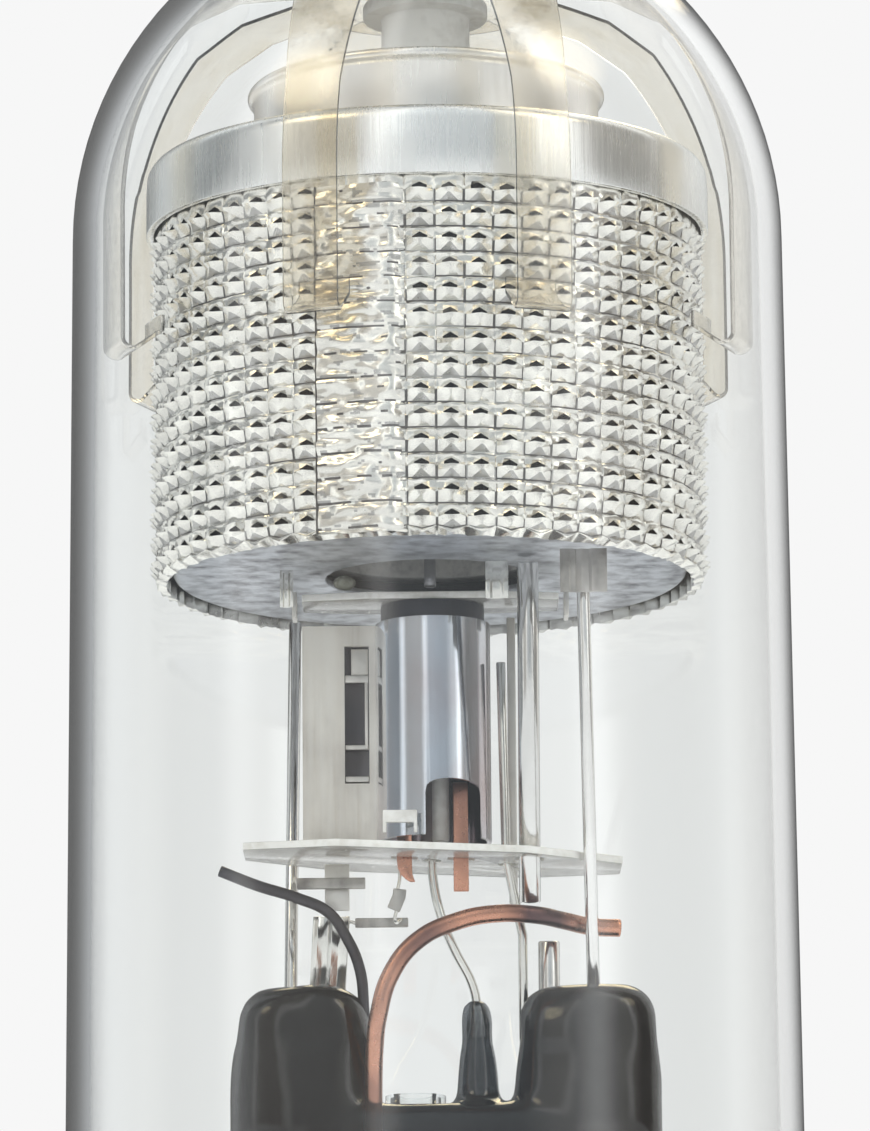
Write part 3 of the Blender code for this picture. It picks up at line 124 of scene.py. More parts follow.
def modified(piece: Piece, kind: str, **settings: object) -> Piece:
    """Add a modifier, set it and apply it.

    Args:
        piece: Mesh to change.
        kind: Modifier type.
        settings: Properties of the modifier.

    Returns:
        The same piece.
    """
    only(piece)
    modifier = piece.modifiers.new(kind.title(), kind)
    for name, value in settings.items():
        setattr(modifier, name, value)
    bpy.ops.object.modifier_apply(modifier=modifier.name)
    return piece


def eased(piece: Piece, width: float, segments: int = 2, angle: float = 35.0) -> Piece:
    """Round the sharp edges of a piece and shade it smoothly.

    Args:
        piece: Mesh to ease.
        width: Width of the rounding in millimetres, 0 for none.
        segments: Faces across the rounding.
        angle: Smallest angle in degrees that counts as an edge.

    Returns:
        The same piece.
    """
    if width:
        modified(piece, "BEVEL", width=width * MM, segments=segments, limit_method="ANGLE",
                 angle_limit=math.radians(angle), use_clamp_overlap=True)
    only(piece)
    bpy.ops.object.shade_smooth_by_angle(angle=math.radians(angle))
    return piece


def turned(outline: Outline, centre: tuple[float, float] = (0.0, 0.0), steps: int = ROUND) -> Piece:
    """Closed outline spun round an upright axis.

    Args:
        outline: Points of radius and height in millimetres.
        centre: Where the axis stands, in millimetres.
        steps: Faces round the piece.

    Returns:
        The new closed mesh.
    """
    bpy.ops.object.select_all(action="DESELECT")
    bpy.ops.mesh.primitive_circle_add(vertices=len(outline), radius=MM)
    piece = bpy.context.object
    x, y = centre
    for vertex, (radius, height) in zip(piece.data.vertices, outline):
        vertex.co = Vector((x + radius, y, height)) * MM
    with editing(piece):
        bpy.ops.mesh.spin(steps=steps, angle=2 * math.pi, center=(x * MM, y * MM, 0), axis=(0, 0, 1))
    return sealed(piece)


def skinned(rows: Sequence[Sequence[Point]], closed: bool = True) -> Piece:
    """Surface stretched through rows of points.

    Args:
        rows: Rows with as many points each, in millimetres.
        closed: True if each row is a ring; the first and last ring are then filled.

    Returns:
        The new mesh.
    """
    bpy.ops.object.select_all(action="DESELECT")
    across = len(rows[0]) if closed else len(rows[0]) - 1
    bpy.ops.mesh.primitive_grid_add(x_subdivisions=across, y_subdivisions=len(rows) - 1, size=MM)
    piece = bpy.context.object
    points = [point for row in rows for point in ([*row, row[0]] if closed else row)]
    assert len(points) == len(piece.data.vertices), "the grid doesn't fit its rows"
    for vertex, point in zip(piece.data.vertices, points):
        vertex.co = Vector(point) * MM
    if not closed:
        return piece
    with editing(piece):
        bpy.ops.mesh.remove_doubles(threshold=1e-7)
        bpy.ops.mesh.fill_holes(sides=0)
        bpy.ops.mesh.select_all(action="SELECT")
        bpy.ops.mesh.normals_make_consistent(inside=False)
    return piece


def folded(rows: Sequence[Sequence[Point]], sheet: float, width: float, angle: float = 35.0) -> Piece:
    """Strip of sheet folded through rows of points.

    Args:
        rows: Rows of points along the middle of the sheet, in millimetres.
        sheet: Thickness of the sheet in millimetres.
        width: Rounding of its edges in millimetres, 0 for none.
        angle: Smallest angle in degrees that counts as an edge.

    Returns:
        The new closed mesh.
    """
    strip = skinned(rows, closed=False)
    modified(strip, "SOLIDIFY", thickness=sheet * MM, offset=0.0)
    return eased(sealed(strip), width, angle=angle)


def drawn(points: Sequence[Point], radius: float, bent: bool = True) -> Piece:
    """Round wire along a path.

    Args:
        points: Path of the wire's middle in millimetres.
        radius: Radius of the wire in millimetres.
        bent: True for smooth bends, False for straight stretches.

    Returns:
        The new mesh, closed at both ends.
    """
    bpy.ops.object.select_all(action="DESELECT")
    bpy.ops.curve.primitive_bezier_curve_add()
    piece = bpy.context.object
    spline = piece.data.splines[0]
    spline.bezier_points.add(len(points) - 2)
    spline.resolution_u = 8 if bent else 1
    kind = "AUTO" if bent else "VECTOR"
    for knot, point in zip(spline.bezier_points, points):
        knot.co = Vector(point) * MM
        knot.handle_left_type = knot.handle_right_type = kind
    piece.data.bevel_depth = radius * MM
    piece.data.bevel_resolution = 4
    piece.data.use_fill_caps = True
    bpy.ops.object.convert(target="MESH")
    return eased(sealed(piece, 1e-3), radius / 5, 1, 50)


def cuboid(low: Sequence[float], high: Sequence[float]) -> Piece:
    """Block between two corners given in millimetres."""
    bpy.ops.object.select_all(action="DESELECT")
    middle = [(a + b) / 2 * MM for a, b in zip(low, high)]
    sides = [(b - a) * MM for a, b in zip(low, high)]
    bpy.ops.mesh.primitive_cube_add(size=1, location=middle, scale=sides)
    bpy.ops.object.transform_apply(location=True, rotation=True, scale=True)
    return bpy.context.object


def refined(node: str) -> Piece:
    """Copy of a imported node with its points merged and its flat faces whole."""
    only(frame["nodes"][node])
    bpy.ops.object.duplicate()
    piece = bpy.context.object
    piece.parent = None
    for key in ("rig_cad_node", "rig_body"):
        if key in piece:
            del piece[key]
    piece.data.materials.clear()
    with editing(piece):
        bpy.ops.mesh.remove_doubles(threshold=1e-6)
        bpy.ops.mesh.dissolve_limited(angle_limit=math.radians(1.0))
    return piece


def cut(piece: Piece, tool: Piece, operation: str = "DIFFERENCE") -> Piece:
    """Cut a tool's shape out of a piece, or join it on, and drop the tool."""
    modified(piece, "BOOLEAN", object=tool, operation=operation, solver="EXACT")
    bpy.data.objects.remove(tool)
    return piece


def joined(pieces: Sequence[Piece]) -> Piece:
    """One piece made of several."""
    only(pieces[0])
    for piece in pieces[1:]:
        piece.select_set(True)
    bpy.ops.object.join()
    return bpy.context.object


def swung(piece: Piece, turn: float) -> Piece:
    """Copy of a piece with its own mesh, turned round the tube's axis by an angle in radians."""
    only(piece)
    bpy.ops.object.duplicate()
    other = bpy.context.object
    other.data.transform(Matrix.Rotation(turn, 4, "Z"))
    return other


def arc(centre: tuple[float, float], radius: float, start: float, end: float, steps: int) -> Outline:
    """Points on an arc of an outline, angles in degrees from outwards."""
    turns = [math.radians(start + (end - start) * k / steps) for k in range(steps + 1)]
    return [(centre[0] + radius * math.cos(t), centre[1] + radius * math.sin(t)) for t in turns]


def front(radius: float, turn: float, height: float = 0.0) -> Point:
    """Point on a circle, turned by radians from the front (-Y) towards +X."""
    return (radius * math.sin(turn), -radius * math.cos(turn), height)


def oval(half_width: float, half_depth: float, height: float, x: float, power: float,
         corners: int = 48) -> list[Point]:
    """Ring of a rounded oblong.

    Args:
        half_width: Half its width in millimetres.
        half_depth: Half its depth in millimetres.
        height: Its height.
        x: Its middle.
        power: 2 for an ellipse, more for squarer corners.
        corners: Points in the ring.

    Returns:
        The ring's points.
    """
    ring = []
    for k in range(corners):
        c, s = math.cos(2 * math.pi * k / corners), math.sin(2 * math.pi * k / corners)
        across = half_width * math.copysign(abs(c) ** (2 / power), c)
        ring.append((x + across, half_depth * math.copysign(abs(s) ** (2 / power), s), height))
    return ring


# ---------------------------------------------------------------- finishes


class Grain(Enum):
    """Way the fine marks of a metal run: stretch of the pattern along X, Y and Z."""

    DRAWN = (1.0, 1.0, 0.03)
    TURNED = (0.05, 0.05, 1.0)
    ROLLED = (0.6, 0.6, 0.6)


class Tree:
    """Node tree of one material, built up node by node."""

    def __init__(self, name: str) -> None:
        """Start a material with a Principled shader."""
        self.material = bpy.data.materials.new(name)
        self.material.use_nodes = True
        self.nodes = self.material.node_tree.nodes
        self.shader = self.nodes["Principled BSDF"]
        self.output = self.nodes["Material Output"]

    def add(self, kind: str, feeds: Optional[dict] = None, **settings: object) -> bpy.types.Node:
        """Add a node.

        Args:
            kind: Node type without its ShaderNode prefix.
            feeds: Value or socket for each input, by name or number.
            settings: Properties of the node.

        Returns:
            The new node.
        """
        node = self.nodes.new(f"ShaderNode{kind}")
        for name, value in settings.items():
            setattr(node, name, value)
        for name, value in (feeds or {}).items():
            self.feed(node.inputs[name], value)
        return node

    def feed(self, socket: bpy.types.NodeSocket, value: object) -> None:
        """Link a socket to another, or set its value."""
        if isinstance(value, bpy.types.NodeSocket):
            self.material.node_tree.links.new(value, socket)
        else:
            socket.default_value = value

    def noise(self, scale: float, stretch: Point = (1.0, 1.0, 1.0),
              detail: float = 3.0) -> bpy.types.NodeSocket:
        """Noise on the piece's own coordinates.

        Args:
            scale: Marks to the millimetre.
            stretch: Share of the scale along each axis.
            detail: Octaves of finer marks.

        Returns:
            The noise's value.
        """
        place = self.add("TexCoord").outputs["Object"]
        mapped = self.add("Mapping", {"Vector": place, "Scale": [scale / MM * share for share in stretch]})
        pattern = self.add("TexNoise", {"Vector": mapped.outputs[0], "Scale": 1.0, "Detail": detail})
        return pattern.outputs[0]

    def spread(self, value: bpy.types.NodeSocket, low: float, high: float, start: float = 0.3,
               end: float = 0.7) -> bpy.types.NodeSocket:
        """Value spread from a low to a high figure.

        Args:
            value: Socket to read.
            low: Figure at the start.
            high: Figure at the end.
            start: Value that gives the low figure.
            end: Value that gives the high figure.

        Returns:
            The spread value.
        """
        feeds = {"Value": value, "From Min": start, "From Max": end, "To Min": low, "To Max": high}
        return self.add("MapRange", feeds).outputs[0]

    def tint(self, share: bpy.types.NodeSocket, one: Sequence[float],
             two: Sequence[float]) -> bpy.types.NodeSocket:
        """Blend of two colours by a share."""
        mix = self.add("Mix", data_type="RGBA")
        self.feed(mix.inputs[0], share)
        self.feed(mix.inputs[6], (*one, 1.0))
        self.feed(mix.inputs[7], (*two, 1.0))
        return mix.outputs[2]

    def relief(self, height: bpy.types.NodeSocket, depth: float, strength: float = 1.0) -> None:
        """Bump of the surface by a height pattern, depth in millimetres."""
        bump = self.add("Bump", {"Height": height, "Strength": strength, "Distance": depth * MM})
        self.feed(self.shader.inputs["Normal"], bump.outputs[0])

    def set(self, **values: object) -> None:
        """Set constants or links on the shader; underscores stand for spaces."""
        for name, value in values.items():
            self.feed(self.shader.inputs[name.replace("_", " ")], value)


@dataclass(frozen=True)
class Metal:
    """Bare or plated metal with its grain, faint stains and uneven gloss."""

    name: str
    colour: tuple[float, float, float]
    roughness: float = 0.25
    grain: Grain = Grain.ROLLED
    stain: tuple[float, float, float] = (0.5, 0.48, 0.45)
    stained: float = 0.35
    depth: float = 0.006
    fineness: float = 6.0
    patch: float = 0.35
    scorched: Optional[tuple[float, float, float, float]] = None

    def scorch(self, tree: Tree, share: bpy.types.NodeSocket) -> bpy.types.NodeSocket:
        """Add the stretch along X that the weld blackened to the share of stain."""
        place = tree.add("SeparateXYZ", {0: tree.add("TexCoord").outputs["Object"]}).outputs["X"]
        start, full, fades, end = (edge * MM for edge in self.scorched)
        rises = tree.spread(place, 0.0, 1.0, start, full)
        falls = tree.spread(place, 1.0, 0.0, fades, end)
        burnt = tree.add("Math", {0: rises, 1: falls}, operation="MULTIPLY").outputs[0]
        return tree.add("Math", {0: burnt, 1: share}, operation="MAXIMUM").outputs[0]

    def build(self) -> bpy.types.Material:
        """Material of this metal."""
        tree = Tree(self.name)
        marks = tree.noise(self.fineness, self.grain.value, 4.0)
        patches = tree.noise(self.patch, (1.0, 1.0, 0.6), 5.0)
        share = tree.spread(patches, 0.0, self.stained, 0.42, 0.72)
        if self.scorched:
            share = self.scorch(tree, share)
        tree.set(Base_Color=tree.tint(share, self.colour, self.stain), Metallic=1.0)
        worn = tree.add("Math", {0: marks, 1: patches}, operation="MULTIPLY").outputs[0]
        tree.set(Roughness=tree.spread(worn, self.roughness * 0.75, self.roughness * 1.5, 0.12, 0.45))
        tree.relief(marks, self.depth)
        return tree.material


@dataclass(frozen=True)
class Glass:
    """Blown or pressed glass that lets lamps through."""

    name: str
    colour: tuple[float, float, float] = (0.97, 0.98, 0.975)
    depth_colour: tuple[float, float, float] = (0.42, 0.5, 0.47)
    density: float = 24.0
    wave: float = 0.012

    def build(self) -> bpy.types.Material:
        """Material of this glass."""
        tree = Tree(self.name)
        streaks = tree.noise(0.12, (1.0, 1.0, 0.25), 2.0)
        tree.set(Base_Color=(*self.colour, 1.0), Transmission_Weight=1.0, IOR=1.49, Roughness=0.0)
        tree.relief(streaks, self.wave)
        path = tree.add("LightPath")
        clear = tree.add("BsdfTransparent", {"Color": (*self.colour, 1.0)})
        both = tree.add("MixShader", {0: path.outputs["Is Shadow Ray"], 1: tree.shader.outputs[0]})
        tree.feed(both.inputs[2], clear.outputs[0])
        tree.feed(tree.output.inputs["Surface"], both.outputs[0])
        soak = tree.add("VolumeAbsorption", {"Color": (*self.depth_colour, 1.0), "Density": self.density})
        tree.feed(tree.output.inputs["Volume"], soak.outputs[0])
        return tree.material


@dataclass(frozen=True)
class Mica:
    """Cleaved mica: clear, a little brown, with flakes and cloudy patches."""

    name: str
    colour: tuple[float, float, float] = (0.95, 0.91, 0.83)
    cloud: tuple[float, float, float] = (0.88, 0.82, 0.7)
    clear: float = 1.0
    roughness: float = 0.03
    depth: float = 0.012

    def build(self) -> bpy.types.Material:
        """Material of this mica."""
        tree = Tree(self.name)
        flakes = tree.noise(0.55, (1.0, 1.0, 0.35), 5.0)
        specks = tree.noise(3.0, (1.0, 1.0, 1.0), 3.0)
        share = tree.spread(flakes, 0.0, 1.0, 0.45, 0.75)
        tree.set(Base_Color=tree.tint(share, self.colour, self.cloud))
        tree.set(IOR=1.56, Transmission_Weight=self.clear)
        tree.set(Roughness=tree.spread(specks, self.roughness, self.roughness + 0.18, 0.4, 0.75))
        tree.relief(flakes, self.depth)
        return tree.material


@dataclass(frozen=True)
class Mineral:
    """Opaque ceramic, moulding, cement or coating with its own speckle."""

    name: str
    colour: tuple[float, float, float]
    speck: tuple[float, float, float]
    roughness: float = 0.5
    fineness: float = 2.0
    depth: float = 0.02

    def build(self) -> bpy.types.Material:
        """Material of this mineral surface."""
        tree = Tree(self.name)
        specks = tree.noise(self.fineness, (1.0, 1.0, 1.0), 5.0)
        clouds = tree.noise(self.fineness / 8, (1.0, 1.0, 1.0), 3.0)
        both = tree.add("Math", {0: specks, 1: clouds}, operation="MULTIPLY").outputs[0]
        tree.set(Base_Color=tree.tint(tree.spread(both, 0.0, 1.0, 0.2, 0.42), self.colour, self.speck))
        tree.set(Roughness=tree.spread(clouds, self.roughness * 0.85, min(1.0, self.roughness * 1.25)))
        tree.relief(specks, self.depth)
        return tree.material


@dataclass
class Finishes:
    """Every finish of the tube, by the record's slot, built when it is first asked for."""

    kinds: dict = field(default_factory=lambda: {
        "clear_glass": Glass("blown bulb glass"),
        "tube_glass": Glass("drawn tube glass", density=60.0),
        "stem_glass": Glass("smoky press glass", (0.86, 0.88, 0.9), (0.04, 0.07, 0.1), 1300.0, 0.3),
        "flare_glass": Glass("smoky flare glass", (0.93, 0.95, 0.96), (0.1, 0.13, 0.16), 230.0, 0.03),
        "embossed_nickel": Metal("embossed bright nickel", (0.9, 0.88, 0.82), 0.2, stained=0.25, depth=0.002),
        # Painted shade: a mid-grey copy of the embossed nickel for the shaded faces of the embossing.
        "embossed_shade": Metal("shaded emboss face", (0.52, 0.51, 0.49), 0.3, stain=(0.35, 0.34, 0.33)),
        # Painted shade: near-black nickel for the hidden electrodes, so the hollow seen through the floor's hole reads
        # dark.
        "shaded_inner_nickel": Metal("inner nickel in painted shade", (0.025, 0.024, 0.023), 0.55, stain=(0.07, 0.07, 0.065)),
        "bead": Mineral("rough grey bead", (0.42, 0.43, 0.36), (0.22, 0.22, 0.18), 0.8, 2.5, 0.08),
        # Painted shade: near-black in the embossed pockets and dark along the creases of the embossing.
        "embossed_pocket": Metal("shaded emboss pocket", (0.02, 0.018, 0.016), 0.6, stain=(0.01, 0.01, 0.01)),
        "embossed_crease_shade": Metal("painted shade emboss crease", (0.14, 0.135, 0.13), 0.45, stain=(0.42, 0.4, 0.38)),
        "drawn_nickel": Metal("drawn collar nickel", (0.97, 0.97, 0.95), 0.27, Grain.DRAWN, stained=0.15, depth=0.006),
        "upper_nickel": Metal("drawn upper nickel", (0.9, 0.87, 0.82), 0.32, Grain.DRAWN, stained=0.15, depth=0.002),
        "floor_nickel": Metal("pressed floor nickel", (0.54, 0.56, 0.59), 0.5, stain=(0.28, 0.28, 0.3), stained=0.9,
                              depth=0.012, patch=0.8),
        # Partly heat tint and partly painted reflection: the bluish base and the pinkish stain patches stand for the
        # surroundings mirrored in the sheet.
        "reservoir_steel": Metal("rolled reservoir sheet", (0.62, 0.66, 0.72), 0.1, Grain.DRAWN,
                                 (0.5, 0.36, 0.34), 0.75, 0.003, patch=0.16),
        "reservoir_wing": Metal("dull wing sheet", (0.9, 0.86, 0.79), 0.48, Grain.DRAWN, (0.62, 0.59, 0.56), 0.6),
        "mica_edge": Mineral("split mica edge", (0.95, 0.94, 0.9), (0.8, 0.78, 0.72), 0.4, 3.0, 0.03),
        "nickel_rod": Metal("drawn nickel rod", (0.78, 0.77, 0.75), 0.14, Grain.DRAWN, stained=0.2),
        "nickel_wire": Metal("drawn nickel wire", (0.78, 0.77, 0.73), 0.16, Grain.DRAWN, stained=0.2),
        "nickel_strip": Metal("cut nickel strip", (0.76, 0.74, 0.7), 0.42, stained=0.4, depth=0.0004),
        "folded_strip": Metal("dull folded strip", (0.5, 0.48, 0.45), 0.42, stain=(0.22, 0.21, 0.2), stained=0.8,
                              depth=0.0004, patch=0.8),
        "oxidised_wire": Metal("oxidised wire", (0.07, 0.07, 0.08), 0.42, stain=(0.2, 0.18, 0.17)),
        "copper": Metal("dull copper", (0.62, 0.31, 0.21), 0.3, stain=(0.12, 0.07, 0.07), stained=0.95, depth=0.001,
                        patch=0.22, scorched=(3.6, 5.0, 6.6, 8.2)),
        "mica_plate": Mica("cloudy mica plate", (0.95, 0.93, 0.88), (0.86, 0.83, 0.76), 0.7, 0.12, 0.006),
        "mica_leaf": Mica("clear brownish mica"),
        "white_ceramic": Mineral("white ceramic", (0.88, 0.87, 0.84), (0.72, 0.7, 0.66), 0.55),
        "oxide_cathode": Mineral("oxide coating", (0.62, 0.61, 0.58), (0.42, 0.41, 0.4), 0.85, 3.0, 0.05),
        "tungsten": Metal("grey refractory metal", (0.34, 0.34, 0.36), 0.4, Grain.TURNED),
        "phenolic": Mineral("moulded phenolic", (0.045, 0.028, 0.02), (0.09, 0.055, 0.035), 0.38, 1.2, 0.008),
        "cement": Mineral("basing cement", (0.64, 0.6, 0.52), (0.42, 0.38, 0.32), 0.9, 2.5, 0.08),
        "plated_brass": Metal("dull plated brass", (0.66, 0.64, 0.59), 0.26, Grain.TURNED,
                              (0.46, 0.4, 0.3), 0.5, 0.003, 4.0, 0.1),
        "cap_metal": Metal("bright plated cap", (0.7, 0.68, 0.64), 0.2, Grain.TURNED, (0.5, 0.45, 0.36), 0.3, 0.002,
                           4.0, 0.15),
        "pin_brass": Metal("tinned brass pin", (0.72, 0.65, 0.48), 0.24, Grain.TURNED, (0.62, 0.6, 0.55), 0.6, 0.001,
                           4.0, 0.25),
        "solder": Metal("soft solder", (0.6, 0.6, 0.6), 0.4, stain=(0.38, 0.37, 0.36), depth=0.02, fineness=2.0),
    })
    made: dict = field(default_factory=dict)

    def get(self, slot: str) -> bpy.types.Material:
        """Material of a slot."""
        if slot not in self.made:
            self.made[slot] = self.kinds[slot].build()
        return self.made[slot]


# ---------------------------------------------------------------- sub-assemblies


@dataclass
class Assembly:
    """Group of pieces that are modelled and dressed together."""

    finishes: Finishes

    def dress(self, piece: Piece, node: str, slot: str, stands_for: bool = True, finish: str = "") -> Piece:
        """Name a finished piece, give it its finish and let it stand for its node.

        Args:
            piece: Finished mesh.
            node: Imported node, or the name of an added detail.
            slot: Material slot of the record.
            stands_for: False for a detail that no node has.
            finish: Name of the finish, if it isn't the slot's own.

        Returns:
            The same piece.
        """
        piece.name = piece.data.name = f"fine_{node}" if stands_for else node
        if not piece.data.materials:
            piece.data.materials.append(self.finishes.get(finish or slot))
        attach(piece, BODY)
        if stands_for:
            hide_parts(node)
        log.info("%s: %d faces, %s", piece.name, len(piece.data.polygons), slot)
        return piece

    def parted(self, piece: Piece, finishes: Sequence[str],
               part: Callable[[bpy.types.MeshPolygon], int]) -> Piece:
        """Give a piece several finishes, chosen face by face.

        Args:
            piece: Finished mesh.
            finishes: Names of the finishes.
            part: Number of the finish that a face takes.

        Returns:
            The same piece.
        """
        piece.data.materials.clear()
        for finish in finishes:
            piece.data.materials.append(self.finishes.get(finish))
        for face in piece.data.polygons:
            face.material_index = part(face)
        return piece


class CrossLine(Enum):
    """Line across one embossed point.

    Its values are its height as a share of the point's, how far the flanks stand from the crest, the depth
    at the sides, flanks and crest, and how far the crest is lifted.
    """

    FOOT = (0.0, 0.24, 0.14, 0.28, 0.3, 0.0)
    WAVE = (0.07, 0.24, 0.22, 0.3, 0.32, 0.03)
    BEAD = (0.105, 0.26, 0.24, 0.34, 0.36, 0.04)
    CREASE = (0.195, 0.3, -0.04, 0.02, 0.0, 0.0)
    BASE = (0.24, 0.31, -0.04, 0.02, 0.0, 0.0)
    SLOPE = (0.5, 0.05, 0.02, 0.56, 0.58, 0.0)
    PEAK = (0.67, 0.24, 0.1, 0.84, 1.0, 0.0)
    POCKET = (0.71, 0.24, 0.14, -0.2, -0.3, 0.0)
    BROW = (0.81, 0.26, 0.22, 0.1, 0.0, 0.17)
    HEAD = (1.0, 0.24, 0.14, 0.28, 0.3, 0.0)


class Tone(IntEnum):
    """Finish of one face of the embossed sheet, in the order of TONES: bright metal, then painted shade in the pocket,
    along the creases and on the shaded faces.
    """

    BRIGHT = 0
    POCKET = 1
    CREASE = 2
    SHADE = 3


TONES = ("embossed_nickel", "embossed_pocket", "embossed_crease_shade", "embossed_shade")


@dataclass
class EmbossedDrum(Assembly):
    """Drum rolled from one sheet of embossed nickel, lapped at its seam."""

    columns: int = 60
    rows: int = 14
    bottom: float = 101.42
    height: float = 18.7
    hem: float = 1.6
    radius: float = 14.45
    sheet: float = 0.4
    depth: float = 0.55
    turn: float = math.radians(1.5)
    lap_start: float = math.radians(-22.5)
    lap_end: float = math.radians(-4.5)
    lap_crush: float = 0.4
    unevenness: float = 0.045
    crease: float = 0.455
    tooth: float = 0.34
    tooth_reach: float = 0.6
    # Painted shade on the embossing: shares of it kept at the front and aside, and thresholds above which a face's
    # painted shade turns lighter.
    shade_kept_front: float = 0.6
    shade_kept_aside: float = 0.36
    shaded: float = 0.78
    pocketed: float = 0.88
    lap_rows: int = 154
    lap_faces: int = 26
    lap_sheet: float = 0.06
    seam_sheet: float = 0.03

    @property
    def pitch(self) -> float:
        """Height of one point."""
        return self.height / self.rows

    @property
    def step(self) -> float:
        """Turn of one point in radians."""
        return 2 * math.pi / self.columns

    def cell(self) -> Piece:
        """One embossed point as a small curved patch, its faces in their tones: bright metal, and painted shade in the
        pocket, the creases and the shaded faces.
        """
        rows = []
        for line in CrossLine:
            rise, spread, side, flank, crest, lift = line.value
            near = side + 0.08 * (flank - side)
            half = ((-0.5, side), (-self.crease, near), (-spread, flank))
            places = [(across, deep, 0) for across, deep in half] + [(0.0, crest, lift)]
            places += [(-across, deep, 0) for across, deep in half[::-1]]
            rows.append([front(self.radius + self.depth * deep, self.turn + self.step * (across + 0.5),
                               self.bottom + self.pitch * (rise + up)) for across, deep, up in places])

        def tone(face: bpy.types.MeshPolygon) -> int:
            """Tone of a face by its line and column."""
            line, column = divmod(face.index, 6)
            # Pocket faces take near-black painted shade, crease faces dark painted shade, shaded faces mid-grey
            # painted shade.
            if line == 7 and column in (2, 3):
                return Tone.POCKET
            if line == 3 or (line in (4, 5) and column in (0, 5)):
                return Tone.CREASE
            return Tone.SHADE if line == 1 or (line == 4 and column in (2, 3)) else Tone.BRIGHT

        return self.parted(skinned(rows, closed=False), TONES, tone)

    def build(self) -> None:
        """Spin the point into a ring, stack the rings, and close the sheet at the hem and foot."""
        drum = self.cell()
        with editing(drum):
            bpy.ops.mesh.spin(steps=self.columns - 1, dupli=True, angle=2 * math.pi - self.step,
                              center=(0, 0, 0), axis=(0, 0, 1))
        sealed(drum, 1e-3)
        modified(drum, "ARRAY", count=self.rows, use_relative_offset=False, use_constant_offset=True,
                 constant_offset_displace=(0, 0, self.pitch * MM), use_merge_vertices=True,
                 merge_threshold=2e-3 * MM)
        self.crush(drum)
        self.vary_painted_shade(drum)
        self.close(drum)
        eased(drum, 0, angle=32)
        self.dress(drum, "embossed_drum", "embossed_nickel")

    def crush(self, drum: Piece) -> None:
        """Flatten the points along the lap, make the others a little uneven and cut teeth into the foot.

        Args:
            drum: Stack of rings of points.
        """
        shake = random.Random(7)
        for vertex in drum.data.vertices:
            x, y, z = vertex.co / MM
            turn, radius = math.atan2(x, -y), math.hypot(x, y)
            over = radius - self.radius
            if self.lap_start - 1e-3 < turn < self.lap_end + 1e-3:
                over = over * self.lap_crush + shake.uniform(0, 3 * self.unevenness)
            elif over > 0.1 * self.depth:
                over += shake.uniform(-self.unevenness, self.unevenness)
                z += shake.uniform(-self.unevenness, self.unevenness)
            if z < self.bottom + self.tooth_reach:
                away = abs(((turn - self.turn) / self.step) % 1.0 - 0.5) * 2
                z = max(z, self.bottom)
                z += self.tooth * min(1.0, away / 0.9) * (1 - (z - self.bottom) / self.tooth_reach)
            vertex.co = Vector(front(self.radius + over, turn, z)) * MM

    def vary_painted_shade(self, drum: Piece) -> None:
        """Vary the painted shade of the dark faces from point to point, keeping more of it at the front.

        Args:
            drum: Stack of rings of points whose faces carry their tones.
        """
        for face in drum.data.polygons:
            x, y, z = face.center / MM
            turn, tone = math.atan2(x, -y), face.material_index
            column, row = math.floor((turn - self.turn) / self.step), math.floor((z - self.bottom) / self.pitch)
            chance = random.Random(column * 131 + row * 17 + tone * 7).random()
            shade_kept = self.shade_kept_front if -0.1 < turn < 0.5 else self.shade_kept_aside
            if tone == Tone.CREASE and chance > shade_kept:
                face.material_index = Tone.SHADE if chance > self.shaded else Tone.BRIGHT
            elif tone == Tone.POCKET and chance > self.pocketed:
                face.material_index = Tone.CREASE
            elif tone == Tone.SHADE and chance > self.shade_kept_front:
                face.material_index = Tone.BRIGHT

    def close(self, drum: Piece) -> None:
        """Draw the top edge up into the hem and the sheet's inside down to the foot.

        Args:
            drum: Open sheet, with its points outside.
        """
        top, foot = self.bottom + self.height, self.bottom
        inner = self.radius - self.sheet

        def ring(height: float) -> None:
            """Select the open edge near a height."""
            bpy.ops.object.mode_set(mode="OBJECT")
            counts: dict[tuple[int, int], int] = {}
            for face in drum.data.polygons:
                for key in face.edge_keys:
                    counts[key] = counts.get(key, 0) + 1
            for item in (*drum.data.vertices, *drum.data.polygons):
                item.select = False
            for edge in drum.data.edges:
                near = all(abs(drum.data.vertices[v].co.z / MM - height) < 0.6 for v in edge.vertices)
                edge.select = near and counts.get(tuple(sorted(edge.vertices)), 0) < 2
                if edge.select:
                    for v in edge.vertices:
                        drum.data.vertices[v].select = True
            bpy.ops.object.mode_set(mode="EDIT")

        with editing(drum):
            bpy.ops.mesh.select_mode(type="EDGE")
            ring(top)
            bpy.ops.mesh.extrude_region_move(TRANSFORM_OT_translate={"value": (0, 0, self.hem * MM)})
            shrink = inner / (self.radius + 0.2 * self.depth)
            bpy.ops.mesh.extrude_region_move()
            bpy.ops.transform.resize(value=(shrink, shrink, 1), center_override=(0, 0, 0))
            bpy.ops.mesh.extrude_region_move(
                TRANSFORM_OT_translate={"value": (0, 0, -(self.height + self.hem) * MM)})
            bpy.ops.mesh.select_all(action="DESELECT")
            ring(foot)
            bpy.ops.mesh.bridge_edge_loops()
            bpy.ops.mesh.select_all(action="SELECT")
            bpy.ops.mesh.normals_make_consistent(inside=False)
            bpy.ops.mesh.select_mode(type="VERT")

